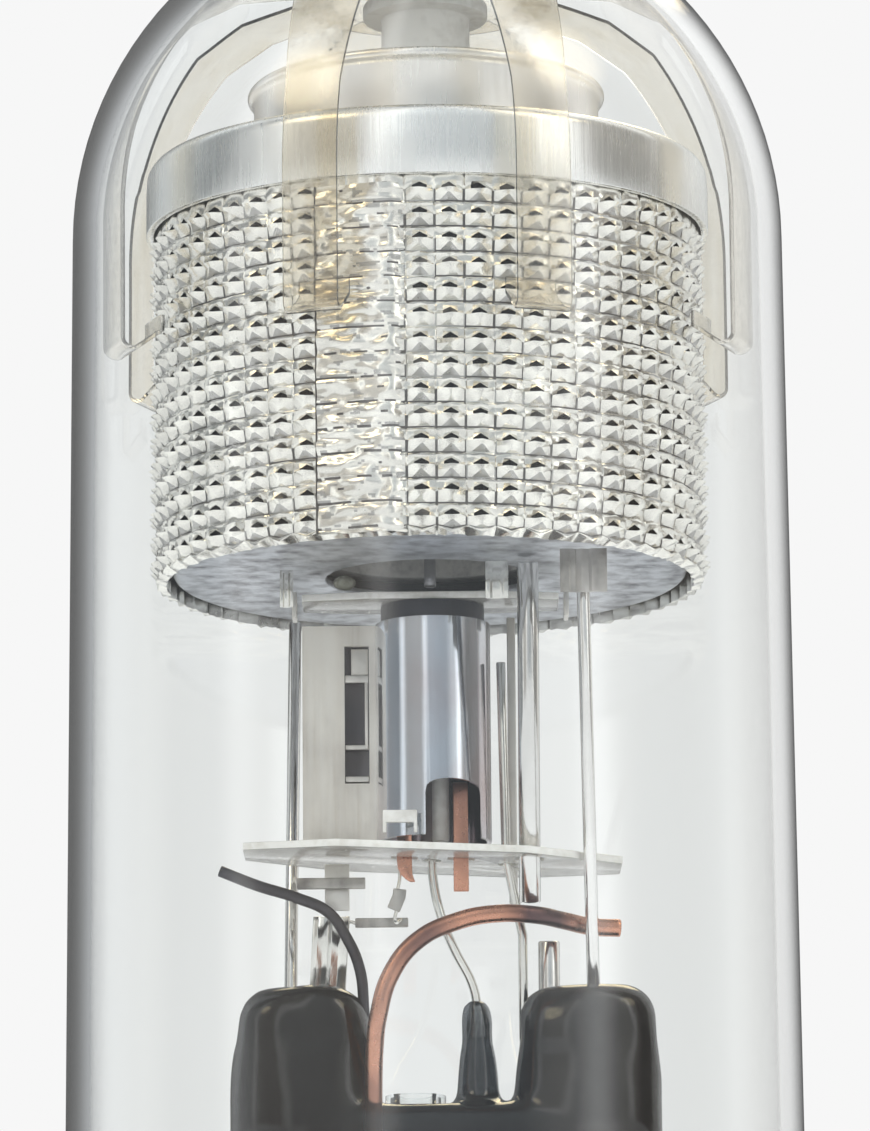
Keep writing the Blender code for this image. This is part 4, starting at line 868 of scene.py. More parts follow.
    def lap(self) -> None:
        """Free edge of the lapped sheet: a thin crushed strip that stands a little proud, and its seam, a thin ridge
        in painted shade.
        """
        grid = []
        for level in range(self.lap_rows + 1):
            height = self.bottom + 0.1 + (self.height - 0.2) * level / self.lap_rows
            rise = (height - self.bottom) / self.pitch
            row = []
            for k in range(self.lap_faces + 1):
                share = k / self.lap_faces
                turn = self.lap_start + (self.lap_end - self.lap_start) * share
                place = Vector((turn * 9, height * 1.3, 3.0))
                fold = noise.noise(place) * 0.2 + noise.noise(place * 2.3) * 0.11
                wave = math.cos(2 * math.pi * rise + 5 * noise.noise(place * 0.6))
                over = 0.36 + fold + 0.07 * wave * noise.noise(place * 0.8 + Vector((9, 0, 0)))
                over -= 0.09 * math.exp(-((rise % 1.0 - 0.22) / 0.06) ** 2)
                over = max(0.2, min(over, 0.53)) + 0.03 * (k == 0)
                row.append(front(self.radius + over - max(0.0, share - 0.85) * 3.0, turn, height))
            grid.append(row)

        def tone(face: bpy.types.MeshPolygon) -> int:
            """Number of a face's finish: dark painted shade along the old creases, mid-grey painted shade in patches.
            """
            level, k = divmod(face.index, self.lap_faces)
            rise = ((level + 0.5) / self.lap_rows * self.rows) % 1.0
            patch = noise.noise(Vector((k * 0.23, level * 0.31, 8.0)))
            if 0.18 < rise < 0.27 and patch > -0.12 or 0.7 < rise < 0.8 and patch > 0.3:
                return 1
            return 2 if patch < -0.38 or 0.27 < rise < 0.36 and patch > 0.1 else 0

        strip = self.parted(skinned(grid, closed=False),
                            ("embossed_nickel", "embossed_crease_shade", "embossed_shade"), tone)
        modified(strip, "SOLIDIFY", thickness=self.lap_sheet * MM, offset=0.0)
        self.dress(eased(sealed(strip), 0, angle=70), "drum_lap_edge", "embossed_nickel", stands_for=False)
        # The seam ridge takes the dark crease finish: a painted shadow line along the lap's edge.
        ridge = ((0.0, 0.3), (0.004, 0.42), (0.008, 0.3))
        rows = [[front(self.radius + over, self.lap_start - gap, self.bottom + 0.05 + 0.18 * level)
                 for gap, over in ridge] for level in range(104)]
        self.dress(folded(rows, self.seam_sheet, 0), "drum_seam_shade_line", "embossed_nickel", stands_for=False,
                   finish="embossed_crease_shade")


@dataclass
class CanTop(Assembly):
    """Drawn collar, small upper can with its lip, and the floor that closes the drum from below."""

    radius: float = 15.15
    bottom: float = 120.42
    top: float = 124.22
    rounding: float = 0.8
    sheet: float = 0.4
    upper_radius: float = 9.35
    upper_top: float = 128.72
    lip: float = 0.35
    flange: float = 1.2
    sleeve_hole: float = 2.7
    floor_under: float = 101.82
    floor_edge: float = 13.75
    floor_skirt: float = 2.0
    floor_hole: float = 5.6

    def build(self) -> None:
        """Turn the collar, the upper can and the floor."""
        self.collar()
        self.upper_can()
        self.floor()

    def collar(self) -> None:
        """Flat shoulder that turns down over a round corner into the band."""
        hole = self.upper_radius + 0.3
        corner = (self.radius - self.rounding, self.top - self.rounding)
        outline = [(hole, self.top)] + arc(corner, self.rounding, 90, 0, 6)
        outline += [(self.radius, self.bottom), (self.radius - self.sheet, self.bottom)]
        outline += arc(corner, self.rounding - self.sheet, 0, 90, 4) + [(hole, self.top - self.sheet)]
        self.dress(eased(turned(outline, steps=144), 0.06), "can_collar", "drawn_nickel")

    def upper_can(self) -> None:
        """Wall, rolled lip and lid of the small can, flanged under the collar."""
        inside, under = self.upper_radius - self.sheet, self.top - self.sheet - 0.3
        lid, rim = self.upper_top - self.sheet, self.upper_radius + self.lip
        outline = [(inside, under - self.sheet), (self.upper_radius + self.flange, under - self.sheet)]
        outline += [(self.upper_radius + self.flange, under), (self.upper_radius, under)]
        outline += [(self.upper_radius, lid - self.sheet)]
        outline += arc((rim - 0.28, self.upper_top - 0.3), 0.28, -70, 90, 8)
        outline += [(radius, self.upper_top - 0.02) for radius in (rim - 0.9, self.sleeve_hole + 0.5)]
        outline += [(self.sleeve_hole, self.upper_top - 0.1), (self.sleeve_hole, lid), (inside, lid)]
        self.dress(eased(turned(outline, steps=128), 0.05), "upper_can", "upper_nickel")

    def floor(self) -> None:
        """Pressed disc with an upturned skirt and a round opening in its middle."""
        under, top = self.floor_under, self.floor_under + self.sheet
        inside = self.floor_edge - self.sheet
        outline = [(self.floor_hole, under), (self.floor_hole + 0.5, under), (inside, under)]
        outline += arc((self.floor_edge - 0.4, top), 0.4, -60, 0, 4)
        outline += [(self.floor_edge, under + self.floor_skirt), (inside, under + self.floor_skirt), (inside, top)]
        outline += [(self.floor_hole, top)]
        self.dress(eased(turned(outline, steps=128), 0.06), "drum_floor", "floor_nickel")


@dataclass
class InnerStack(Assembly):
    """Electrodes hidden in the can, and the ceramic sleeve and lead above it."""

    sleeve_bore: float = 1.3
    sleeve_radius: float = 2.4
    sleeve_foot: float = 127.92
    sleeve_top: float = 137.86
    flange: float = 1.0
    flange_thickness: float = 0.8
    heater_turns: int = 4
    heater_pitch: float = 1.6
    heater_radius: float = 3.2
    heater_wire: float = 0.35
    lid: float = 129.02
    seat: float = 133.74
    lead_radius: float = 1.0
    lead_foot: float = 125.22
    lead_top: float = 150.63

    def build(self) -> None:
        """Finish the hidden electrodes and turn the sleeve and the lead."""
        # Heat shield and grid baffle take near-black nickel as painted shade in the hollow behind the floor's hole.
        for node, slot, finish in (("heat_shield", "floor_nickel", "shaded_inner_nickel"), ("anode", "tungsten", ""),
                                   ("grid_baffle", "floor_nickel", "shaded_inner_nickel"),
                                   ("cathode_cup", "oxide_cathode", "")):
            self.dress(eased(refined(node), 0.05), node, slot, finish=finish)
        self.heater()
        self.sleeve()
        lead = turned([(0, self.lead_foot), (self.lead_radius, self.lead_foot), (self.lead_radius, self.lead_top),
                       (0, self.lead_top)], steps=40)
        self.dress(eased(lead, 0.12), "anode_lead", "tungsten")

    def heater(self) -> None:
        """Coiled heater that hangs in the cathode, with its leg down through the floor."""
        low, high = (corner.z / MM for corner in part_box("heater_coil"))
        top = high - self.heater_wire
        path = [front(self.heater_radius, 2 * math.pi * k / 12, top - self.heater_pitch * k / 12)
                for k in range(self.heater_turns * 12 + 1)]
        path += [(0, -2.2, top - self.heater_pitch * self.heater_turns - 1.2), (0, -2.2, low + 0.1)]
        self.dress(drawn(path, self.heater_wire * 0.9), "heater_coil", "tungsten")

    def sleeve(self) -> None:
        """Ceramic sleeve with a flange on the lid and one under the spring."""
        bore, radius, thick = self.sleeve_bore, self.sleeve_radius, self.flange_thickness
        wide = radius + self.flange
        outline = [(bore, self.sleeve_foot), (radius, self.sleeve_foot), (radius, self.lid), (wide, self.lid)]
        outline += [(wide, self.lid + thick), (radius, self.lid + thick), (radius, self.seat - thick)]
        outline += [(wide, self.seat - thick), (wide, self.seat), (radius, self.seat)]
        outline += [(radius, self.sleeve_top), (bore, self.sleeve_top)]
        self.dress(eased(turned(outline, steps=64), 0.12), "anode_sleeve", "white_ceramic")


@dataclass
class MicaSpring(Assembly):
    """Star spring cut from one leaf of mica: a hub round the sleeve and eight hooked legs."""

    legs: int = 8
    dome: float = 120.42
    glass: float = 17.9
    level: float = 134.142
    hub_radius: float = 7.0
    hub_hole: float = 2.7
    thickness: float = 0.2
    root_width: float = 4.2
    leg_width: float = 2.9
    foot_drop: float = 7.5
    drop: float = 2.2
    gathered: float = math.radians(2.7)

    def path(self) -> Outline:
        """Radius and height along one leg: over the dome, down the glass and hooked onto the can."""
        glass = self.glass - 0.3 - self.thickness / 2
        share = min((self.level - self.drop - self.dome) / glass, 0.95)
        dome = arc((0, self.dome), glass, math.degrees(math.asin(share)), 0, 24)
        foot = self.dome - self.foot_drop
        wall = [(glass, self.dome - self.foot_drop * k / 6) for k in range(1, 6)]
        hook = arc((glass - 0.5, foot + 0.5), 0.5, 0, -110, 6)
        hub, root = (self.hub_radius, self.level), dome[0]
        knee = (hub[0] + (root[0] - hub[0]) * 0.55, hub[1] + (root[1] - hub[1]) * 0.3)
        return [(5.2, self.level), hub, knee, *dome, *wall, *hook, (15.5, foot + 1.1), (15.5, foot + 1.9)]

    def leg(self) -> Piece:
        """One leg from under the hub to its hook."""
        rows = []
        path = self.path()
        for number, (radius, height) in enumerate(path):
            narrow = min(number / 18, 1.0)
            half = (self.root_width + (self.leg_width - self.root_width) * narrow) / 2
            if number > len(path) - 4:
                half *= 0.92
            rows.append([front(radius, half * k / 3 / max(radius, 6.0), height) for k in range(-3, 4)])
        return skinned(rows, closed=False)

    def build(self) -> None:
        """Copy the leg round the hub, join the hub on and give the leaf its thickness."""
        leg = self.leg()
        turns = [2 * math.pi * (k + 0.5) / self.legs for k in range(self.legs)]
        turns[0] -= self.gathered
        turns[-1] += self.gathered
        legs = [swung(leg, turn) for turn in turns]
        bpy.data.objects.remove(leg)
        for piece in legs:
            modified(piece, "SOLIDIFY", thickness=self.thickness * MM, offset=0.0)
            sealed(piece)
        half = self.thickness / 2
        hub = turned([(self.hub_hole, self.level - half), (self.hub_radius, self.level - half),
                      (self.hub_radius, self.level + half), (self.hub_hole, self.level + half)], steps=96)
        star = joined([hub, *legs])
        self.dress(eased(star, 0.0, angle=35), "mica_spring", "mica_leaf")


@dataclass
class Bulb(Assembly):
    """Blown bulb: neck, shoulder, long wall, round dome and the nipple round the anode lead."""

    seal: float = 37.0
    base_top: float = 46.0
    neck: float = 15.25
    radius: float = 19.1
    swell: float = 0.45
    wall: float = 1.2
    shoulder_lift: float = 1.0
    shoulder: float = 9.0
    dome: float = 120.42
    bore: float = 1.3
    nipple_radius: float = 3.4
    nipple_height: float = 4.0
    nipple_round: float = 0.8

    def side(self, inset: float) -> Outline:
        """Outline from the seal to the bulb's widest place, moved in by a wall."""
        low, neck = self.radius + self.swell - inset, self.neck - inset
        points = [(neck, self.seal), (neck, self.base_top)]
        for k in range(17):
            ease = (1 - math.cos(math.pi * k / 16)) / 2
            height = self.base_top + self.shoulder_lift + self.shoulder * k / 16
            points.append((neck + (low - neck) * ease, height))
        top = points[-1][1]
        for k in range(1, 6):
            share = k / 6
            points.append((low - self.swell * share, top + (self.dome - top) * share))
        return points

    def build(self) -> None:
        """Spin the wall in one closed outline."""
        apex = self.dome + self.radius
        end = math.degrees(math.acos((self.nipple_radius + self.nipple_round) / self.radius))
        outer = self.side(0.0) + arc((0, self.dome), self.radius, 0, end, 24)
        top = apex + self.nipple_height
        outer += [(self.nipple_radius + 0.25, apex), (self.nipple_radius, apex + 0.5)]
        outer += [(self.nipple_radius, top - self.nipple_round)]
        corner = (self.nipple_radius - self.nipple_round, top - self.nipple_round)
        outer += arc(corner, self.nipple_round, 15, 90, 5)
        outer += [(self.bore, top)]
        inside = self.radius - self.wall
        bore_end = math.degrees(math.acos(self.bore / inside))
        inner = arc((0, self.dome), inside, bore_end, 0, 24) + self.side(self.wall)[::-1]
        bulb = turned(outer + inner, steps=160)
        self.dress(eased(bulb, 0, angle=40), "glass_bulb", "clear_glass")


@dataclass
class Stem(Assembly):
    """Smoky glass stem: flared tube squeezed into a press with two lobes and a ridge."""

    seal: float = 37.0
    flare: float = 13.75
    tube: float = 9.6
    flare_height: float = 10.0
    tube_top: float = 54.2
    squeeze: float = 10.0
    wall: float = 1.2
    half_width: float = 11.4
    half_depth: float = 3.2
    press_floor: float = 73.5
    press_top: float = 80.0
    shift: float = 0.6
    lobe_spread: float = 7.5
    lobe_half: float = 3.9
    lobe_profile: Outline = field(default_factory=lambda: [
        (0.0, 0.9), (0.3, 1.0), (0.72, 1.0), (0.86, 0.95), (0.94, 0.83), (0.985, 0.6), (1.0, 0.3)])
    ridge_shift: float = 1.7
    ridge_half: float = 1.1
    ridge_depth: float = 1.6
    ridge_drop: float = 0.7
    ripple: tuple[float, float] = (0.12, 0.3)
    joint: float = 64.6
    grain: float = 0.3

    def levels(self) -> list[tuple[float, float, float, float, float]]:
        """Height, half width, half depth, sideways share and squareness up the outside."""
        rows = []
        for k in range(7):
            share = k / 6
            radius = self.tube + (self.flare - self.tube) * (1 - share) ** 1.7
            rows.append((self.seal + self.flare_height * share, radius, radius, 0.0, 2.0))
        rows.append((self.tube_top, self.tube, self.tube, 0.0, 2.0))
        for k in range(1, 6):
            share = (1 - math.cos(math.pi * k / 5)) / 2
            wide = self.tube + (self.half_width - self.tube) * share
            deep = self.tube + (self.half_depth + 0.3 - self.tube) * share
            rows.append((self.tube_top + self.squeeze * k / 5, wide, deep, share, 2.0 + 0.7 * share))
        rows.append((self.press_floor - 0.8, self.half_width, self.half_depth, 1.0, 2.8))
        rows.append((self.press_floor, self.half_width - 0.8, self.half_depth - 0.8, 1.0, 2.8))
        return rows

    def body(self) -> Piece:
        """Tube with its wall, flared at the seal and closed by the press."""
        rows = self.levels()
        outer = [oval(a, b, z, self.shift * share, power) for z, a, b, share, power in rows]
        inner = [oval(a - self.wall, b - self.wall, z, self.shift * share, power)
                 for z, a, b, share, power in rows[:11]]
        close = (0.55 * self.half_width, 0.5 * self.half_depth, self.tube_top + 7.6)
        inner.append(oval(*close, self.shift / 2, 2.2))
        return skinned(inner[::-1] + outer)

    def lobe(self, x: float, half: float, deep: float, top: float) -> Piece:
        """Rounded post of glass on the press.

        Args:
            x: Its middle.
            half: Half its width.
            deep: Half its depth.
            top: Its top.

        Returns:
            The new mesh.
        """
        foot = self.press_floor - 4.0
        rows = []
        for share, scale in self.lobe_profile:
            rows.append(oval(half * scale, deep * scale, foot + (top - foot) * share, x, 2.4, 32))
        return skinned(rows)

    def build(self) -> None:
        """Melt the body, the lobes and the ridge together, and tip off the exhaust tube."""
        lobes = [self.lobe(self.shift + side * self.lobe_spread, self.lobe_half, self.half_depth, self.press_top)
                 for side in (-1, 1)]
        ridge = self.lobe(self.shift + self.ridge_shift, self.ridge_half, self.ridge_depth,
                          self.press_top - self.ridge_drop)
        stem = joined([self.body(), *lobes, ridge])
        modified(stem, "REMESH", mode="VOXEL", voxel_size=self.grain * MM, use_smooth_shade=True)
        modified(stem, "CORRECTIVE_SMOOTH", iterations=12, use_only_smooth=True)
        inset, uneven = self.ripple
        normals = [vertex.normal.copy() for vertex in stem.data.vertices]
        for vertex, normal in zip(stem.data.vertices, normals):
            rise = min(1.0, max(0.0, (vertex.co.z / MM - self.press_floor - 0.5) / 3.0))
            vertex.co -= normal * rise * (inset + uneven * noise.noise(vertex.co * 330)) * MM
        only(stem)
        bpy.ops.object.duplicate()
        flare = bpy.context.object
        for piece, height, side in ((stem, self.joint + 0.02, {"clear_inner": True}),
                                    (flare, self.joint - 0.02, {"clear_outer": True})):
            with editing(piece):
                bpy.ops.mesh.bisect(plane_co=(0, 0, height * MM), plane_no=(0, 0, 1), use_fill=True,
                                    **side)
        self.dress(stem, "stem_glass", "stem_glass")
        self.dress(flare, "stem_flare", "tube_glass", stands_for=False, finish="flare_glass")
        self.exhaust()

    def exhaust(self) -> None:
        """Exhaust tube, drawn to a point where it was tipped off in the base."""
        radius, bore, tip, top = 1.6, 0.9, 23.5, 74.1
        outline = [(0, tip)]
        outline += [(radius * math.sin(math.pi / 2 * k / 8) ** 1.3, tip + 2.8 * k / 8) for k in range(1, 9)]
        outline += [(radius, top), (bore, top), (bore, tip + 3.4), (bore * 0.6, tip + 2.6), (0, tip + 2.2)]
        self.dress(eased(turned(outline, (-1.0, 0.0), 48), 0, angle=50), "exhaust_tube", "tube_glass")


@dataclass(frozen=True)
class Wire:
    """Round wire: its node, slot, radius and path in millimetres."""

    node: str
    slot: str
    radius: float
    path: tuple[Point, ...]
    bent: bool = True


@dataclass
class Harness(Assembly):
    """Rods, posts, wires and strips between the press, the micas and the can."""

    sunk: float = 77.0
    strips: tuple[str, ...] = ("flat_strip", "strap_link", "upper_bar", "lower_bar", "curled_tab",
                               "mica_clip_left", "mica_clip_right")
    dull: tuple[str, ...] = ("upper_bar", "lower_bar", "curled_tab")
    tie: float = 0.09

    def wires(self) -> list[Wire]:
        """Every round wire of the mount."""
        deep = self.sunk
        rods = [
            Wire("support_rod_left", "nickel_rod", 0.34, ((-7.517, 10.42, 101.52), (-7.602, 0, deep)), False),
            Wire("support_rod_right", "nickel_rod", 0.34, ((7.889, -8.737, 99.92), (8.49, 0, deep)), False),
            Wire("cathode_post", "nickel_rod", 0.56, ((5.097, -6.295, 101.52), (5.097, -2.3, 84.02)), False),
            Wire("lower_post", "nickel_rod", 0.56, ((6.111, -0.6, 82.211), (6.111, 0, deep)), False),
            Wire("heater_rod", "nickel_wire", 0.25,
                 ((3.7, -1.6, 97.02), (3.9, -0.6, 86.7), (4.746, 0, 82.613), (4.746, 0, deep)), False),
        ]
        bends = [
            Wire("dark_lead", "oxidised_wire", 0.3,
                 ((-11.19, -2.4, 85.829), (-9.201, -2.4, 85.025), (-7.095, -2.3, 84.355), (-5.496, -2.1, 83.618),
                  (-4.599, -1.6, 82.412), (-3.897, -0.9, 80.804), (-3.702, -0.7, 78.995), (-3.702, -0.7, deep))),
            Wire("thin_lead", "nickel_wire", 0.24,
                 ((0, -1, 87.22), (0, -1, 85.695), (0.5, -1, 83.283), (1.1, -0.8, 81.809), (2.1, -0.2, 79.8),
                  (2.3, 0, 78.4), (2.3, 0, deep))),
            Wire("copper_lead", "copper", 0.47,
                 ((9.894, -1, 82.814), (8.412, -1.1, 82.881), (6.891, -2, 83.082), (5.409, -3.2, 83.216),
                  (3.294, -3.6, 83.25), (1.294, -3.6, 82.881), (-0.806, -3.6, 81.876), (-2.206, -3.6, 80.134),
                  (-2.906, -3.6, 77.856), (-3.095, -2.9, 76.5), (-3.195, -1.9, 74.3), (-3.195, -1.6, 72.3),
                  (-3.195, -1.6, 70.5))),
        ]
        return rods + bends

    def base_leads(self) -> list[Wire]:
        """Leads from the press down through the flare into the pins."""
        pins = ((-5.749, -5.749), (-5.749, 5.749), (5.749, -5.749), (5.749, 5.749))
        wires = []
        for number, (x, (px, py)) in enumerate(zip((-5.6, -3.9, 1.9, 3.6), pins), 1):
            y = math.copysign(2.2, py)
            path = ((px, py, 15.3), (px, py, 21.1), (x, y, 47.0), (x, 0, 59.2), (x, 0, 64.9))
            wires.append(Wire(f"base_lead_{number}", "nickel_wire", 0.35, path, False))
        return wires

    def build(self) -> None:
        """Draw the wires, ease the plain strips and fold the others."""
        for wire in self.wires() + self.base_leads():
            self.dress(drawn(wire.path, wire.radius, wire.bent), wire.node, wire.slot)
        for node in self.strips:
            finish = "folded_strip" if node in self.dull else ""
            self.dress(eased(refined(node), 0.05), node, "nickel_strip", finish=finish)
        self.dress(eased(refined("copper_tab_right"), 0.05), "copper_tab_right", "copper")
        self.strap()
        self.curl()
        self.bracket()
        for node in ("floor_tab_left", "floor_tab_middle"):
            self.channel(node)
        self.ties()

    def channel(self, node: str) -> None:
        """Tab under the can's floor, folded lengthwise into a channel.

        Args:
            node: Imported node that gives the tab's place and size.
        """
        low, high = (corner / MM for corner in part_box(node))
        wide, deep = high.x - low.x, high.y - low.y
        shares = ((0.0, 0.25), (0.18, 0.25), (0.3, 0.75), (0.68, 0.75), (0.8, 0.25), (1.0, 0.25))
        rows = [[(low.x + wide * across, low.y + deep * share, z) for across, share in shares]
                for z in (low.z, high.z)]
        self.dress(folded(rows, deep * 0.4, 0.03), node, "nickel_strip", finish="nickel_wire")

    def ties(self) -> None:
        """Fine wires that tie the curled tab to the mica above and to the bar below."""
        low, high = (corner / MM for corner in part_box("curled_tab"))
        left, right = (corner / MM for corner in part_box("lower_bar"))
        x, y, level = (low.x + high.x) / 2, (low.y + high.y) / 2, (left.y + right.y) / 2
        paths = (((x, y, high.z - 0.2), (x + 0.15, y + 0.1, high.z + 0.5), (x + 0.1, y + 0.2, 86.75)),
                 ((x, y, low.z + 0.2), (x - 0.1, y, low.z - 0.4), (right.x - 0.3, level, right.z - 0.1)),
                 ((left.x + 0.15, level, left.z + 0.2), (left.x - 0.4, -0.5, left.z + 0.3),
                  (-4.7, -0.45, left.z + 0.1)))
        ties = joined([drawn(path, self.tie) for path in paths])
        self.dress(ties, "tab_ties", "nickel_wire", stands_for=False)

    def strap(self) -> None:
        """Strap folded lengthwise into two shallow channels."""
        path = ((-5.363, -0.6, 83.618), (-5.463, -0.5, 82.01), (-5.54, -0.02, 80.9), (-5.613, 0.4, 80.0),
                (-5.613, 0.4, self.sunk))
        section = [(-0.95, 0.0), (-0.7, -0.12), (-0.42, 0.08), (-0.1, 0.08), (0.08, -0.12), (0.4, 0.08),
                   (0.68, 0.08), (0.95, -0.1)]
        rows = [[(x + across, y + deep, z) for across, deep in section] for x, y, z in path]
        self.dress(folded(rows, 0.14, 0.03), "heater_strap", "nickel_strip", finish="nickel_wire")

    def curl(self) -> None:
        """Copper tab that tapers and curls aside at its end."""
        path = ((-1.486, 88.52, 0.4), (-1.486, 86.4, 0.4), (-1.46, 86.0, 0.38), (-1.36, 85.66, 0.3),
                (-1.2, 85.42, 0.22), (-1.05, 85.28, 0.14))
        y, half = -1.6065, 0.11
        corners = ((-1, -half), (1, -half), (1, half), (-1, half))
        rows = [[(x + side * wide, y + deep, z) for side, deep in corners] for x, z, wide in path]
        self.dress(eased(skinned(rows), 0.04, 1, 50), "copper_tab_left", "copper")

    def bracket(self) -> None:
        """Bracket folded from one strip: a flange, a roll round the rod's end and a flat ear."""
        low, high = (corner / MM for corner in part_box("rod_bracket"))
        back, face, thick = high.y, low.y, 0.2
        rod = (7.889, -8.9)
        fold = [(low.x, face), (low.x + 0.45, face), (low.x + 0.5, back - thick)]
        fold += [(rod[0] - 0.45, back - thick), (rod[0] - 0.42, face + 0.15), (rod[0] - 0.1, face)]
        fold += [(rod[0] + 0.3, face + 0.12), (rod[0] + 0.45, back - thick - 0.1), (high.x, back - thick - 0.1)]
        rows = [[(x, y, z) for x, y in fold] for z in (low.z, low.z + 0.4, high.z)]
        self.dress(folded(rows, thick * 0.8, 0.05), "rod_bracket", "nickel_strip", finish="folded_strip")


@dataclass
class Reservoir(Assembly):
    """Reservoir cylinder with its wing, between the two mica plates."""

    x: float = 0.1
    y: float = -0.6
    radius: float = 3.05
    sheet: float = 0.25
    bottom: float = 87.52
    top: float = 99.22
    wing: float = 4.0
    slot_width: float = 1.3
    slot_length: float = 7.4
    slot_drop: float = 1.1
    slot_inset: float = 1.0
    notch: float = 2.9
    notch_height: float = 3.0
    notch_offset: float = 1.0
    upper_mica: float = 100.42
    core_radius: float = 0.45
    liner_sheet: float = 0.2

    def build(self) -> None:
        """Roll the cylinder, cut its slot and notch, and dress the micas and fittings."""
        self.shell()
        core = turned([(0, self.bottom), (self.core_radius, self.bottom), (self.core_radius, self.top + 0.4),
                       (0, self.top + 0.4)], (0.45, self.y - 0.3), 32)
        self.dress(eased(core, 0.1), "ceramic_core", "white_ceramic")
        self.clip()
        self.bead()
        for node in ("upper_mica", "lower_mica"):
            plate = self.parted(eased(refined(node), 0.06), ("mica_plate", "mica_edge"),
                                lambda face: int(abs(face.normal.z) < 0.7))
            self.dress(plate, node, "mica_plate")
        self.pocket()
        # Painted shade: a near-black liner in the cylinder's mouth, up to the upper mica, so the gap under the mica
        # reads dark.
        outer, low, high = self.radius - self.sheet - 0.05, self.top - 1.0, self.upper_mica - 0.22
        inner = outer - self.liner_sheet
        liner = turned([(inner, low), (outer, low), (outer, high), (inner, high)], (self.x, self.y), 64)
        self.dress(eased(liner, 0.04), "reservoir_shade_liner", "oxidised_wire", stands_for=False)

    def shell(self) -> None:
        """Cylinder and wing of thin sheet, slotted, and notched at the foot."""
        inner = self.radius - self.sheet
        outline = [(inner, self.bottom), (self.radius, self.bottom), (self.radius, self.top), (inner, self.top)]
        tube = turned(outline, (self.x, self.y), 96)
        left, half = self.x - self.radius, self.sheet / 2
        wing = cuboid((left - self.wing + 0.1, self.y - half, self.bottom),
                      (left + 0.2, self.y + half, self.top))
        cut(tube, wing, "UNION")
        high = self.top - self.slot_drop
        middle = left - self.slot_inset
        slot = cuboid((middle - self.slot_width / 2, self.y - 1, high - self.slot_length),
                      (middle + self.slot_width / 2, self.y + 1, high))
        cut(tube, slot)
        notch_x = self.x + self.notch_offset
        half, high = self.notch / 2, self.bottom + self.notch_height
        arch = [(-half, self.bottom - 0.4), (-half, high - 0.75)]
        arch += [(-half * math.cos(t), high - 0.75 + 0.75 * math.sin(t) ** 0.6)
                 for t in (math.pi * k / 10 for k in range(1, 10))]
        arch += [(half, high - 0.75), (half, self.bottom - 0.4)]
        notch = skinned([[(notch_x + x, y, z) for x, z in arch] for y in (self.y - 2 * self.radius, self.y)])
        cut(tube, notch)
        with editing(sealed(tube)):
            bpy.ops.mesh.dissolve_limited(angle_limit=math.radians(0.5))
            bpy.ops.mesh.quads_convert_to_tris(quad_method="BEAUTY", ngon_method="BEAUTY")
        tube = self.parted(eased(tube, 0.04, 2, 40), ("reservoir_steel", "reservoir_wing"),
                           lambda face: int(face.center.x < (left - 0.02) * MM))
        self.dress(tube, "reservoir", "reservoir_steel")

    def pocket(self) -> None:
        """Folded pocket behind the slot, near-black as painted shade, with a bright bar and lips that show through it.
        """
        high = self.top - self.slot_drop
        low, middle = high - self.slot_length, self.x - self.radius - self.slot_inset
        half, face = self.slot_width / 2 + 0.25, self.y + self.sheet / 2
        back = cuboid((middle - half, face - 0.01, low - 0.25), (middle + half, face + 0.55, high + 0.25))
        with editing(back):
            bpy.ops.mesh.select_mode(type="FACE")
            bpy.ops.mesh.select_all(action="DESELECT")
            bpy.ops.object.mode_set(mode="OBJECT")
            for side in back.data.polygons:
                side.select = side.normal.y < -0.9
            bpy.ops.object.mode_set(mode="EDIT")
            bpy.ops.mesh.inset(thickness=0.16 * MM)
            bpy.ops.transform.translate(value=(0, 0.42 * MM, 0))
            bpy.ops.mesh.select_mode(type="VERT")
        # The pocket takes a near-black finish as painted shade behind the slot.
        self.dress(eased(back, 0.05), "slot_pocket", "oxidised_wire", stands_for=False)
        lips = (((-0.62, -0.18, high - 1.95), (0.62, 0.1, high - 1.55)),
                ((-0.62, -0.1, low + 1.85), (0.62, 0.1, low + 2.1)),
                ((-0.62, -0.15, low + 0.1), (0.62, 0.1, low + 0.4)),
                ((0.42, -0.16, low + 1.9), (0.6, 0.3, high - 1.6)),
                ((-0.3, 0.05, high - 1.5), (0.62, 0.3, high - 0.1)))
        bars = [cuboid(*((middle + x, face + y, z) for x, y, z in corners)) for corners in lips]
        self.dress(eased(joined(bars), 0.04), "slot_lips", "nickel_strip", stands_for=False)

    def clip(self) -> None:
        """Small white clip at the foot, hollowed out below its bar."""
        low, high = (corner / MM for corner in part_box("reservoir_clip"))
        clip = cuboid(low, high)
        sill = low.z + 0.45 * (high.z - low.z)
        cut(clip, cuboid((low.x + 0.18, low.y - 1, low.z - 1), (high.x - 0.18, low.y + 0.3, sill)))
        self.dress(eased(clip, 0.05), "reservoir_clip", "white_ceramic")

    def bead(self) -> None:
        """Flattened bead on the upper mica."""
        low, high = (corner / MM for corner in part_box("mica_bead"))
        middle = ((low.x + high.x) / 2, (low.y + high.y) / 2)
        radius, height = (high.x - low.x) / 2, (high.z - low.z) / 2
        dome = [(radius * math.cos(t), low.z + height + height * math.sin(t))
                for t in (math.pi * (k / 10 - 0.5) for k in range(11))]
        bead = turned(dome, middle, 32)
        for vertex in bead.data.vertices:
            out = Vector((vertex.co.x - middle[0] * MM, vertex.co.y - middle[1] * MM, 0))
            vertex.co -= out * 0.25 * abs(noise.noise(vertex.co * 1500))
        self.dress(eased(bead, 0, angle=60), "mica_bead", "copper", finish="bead")


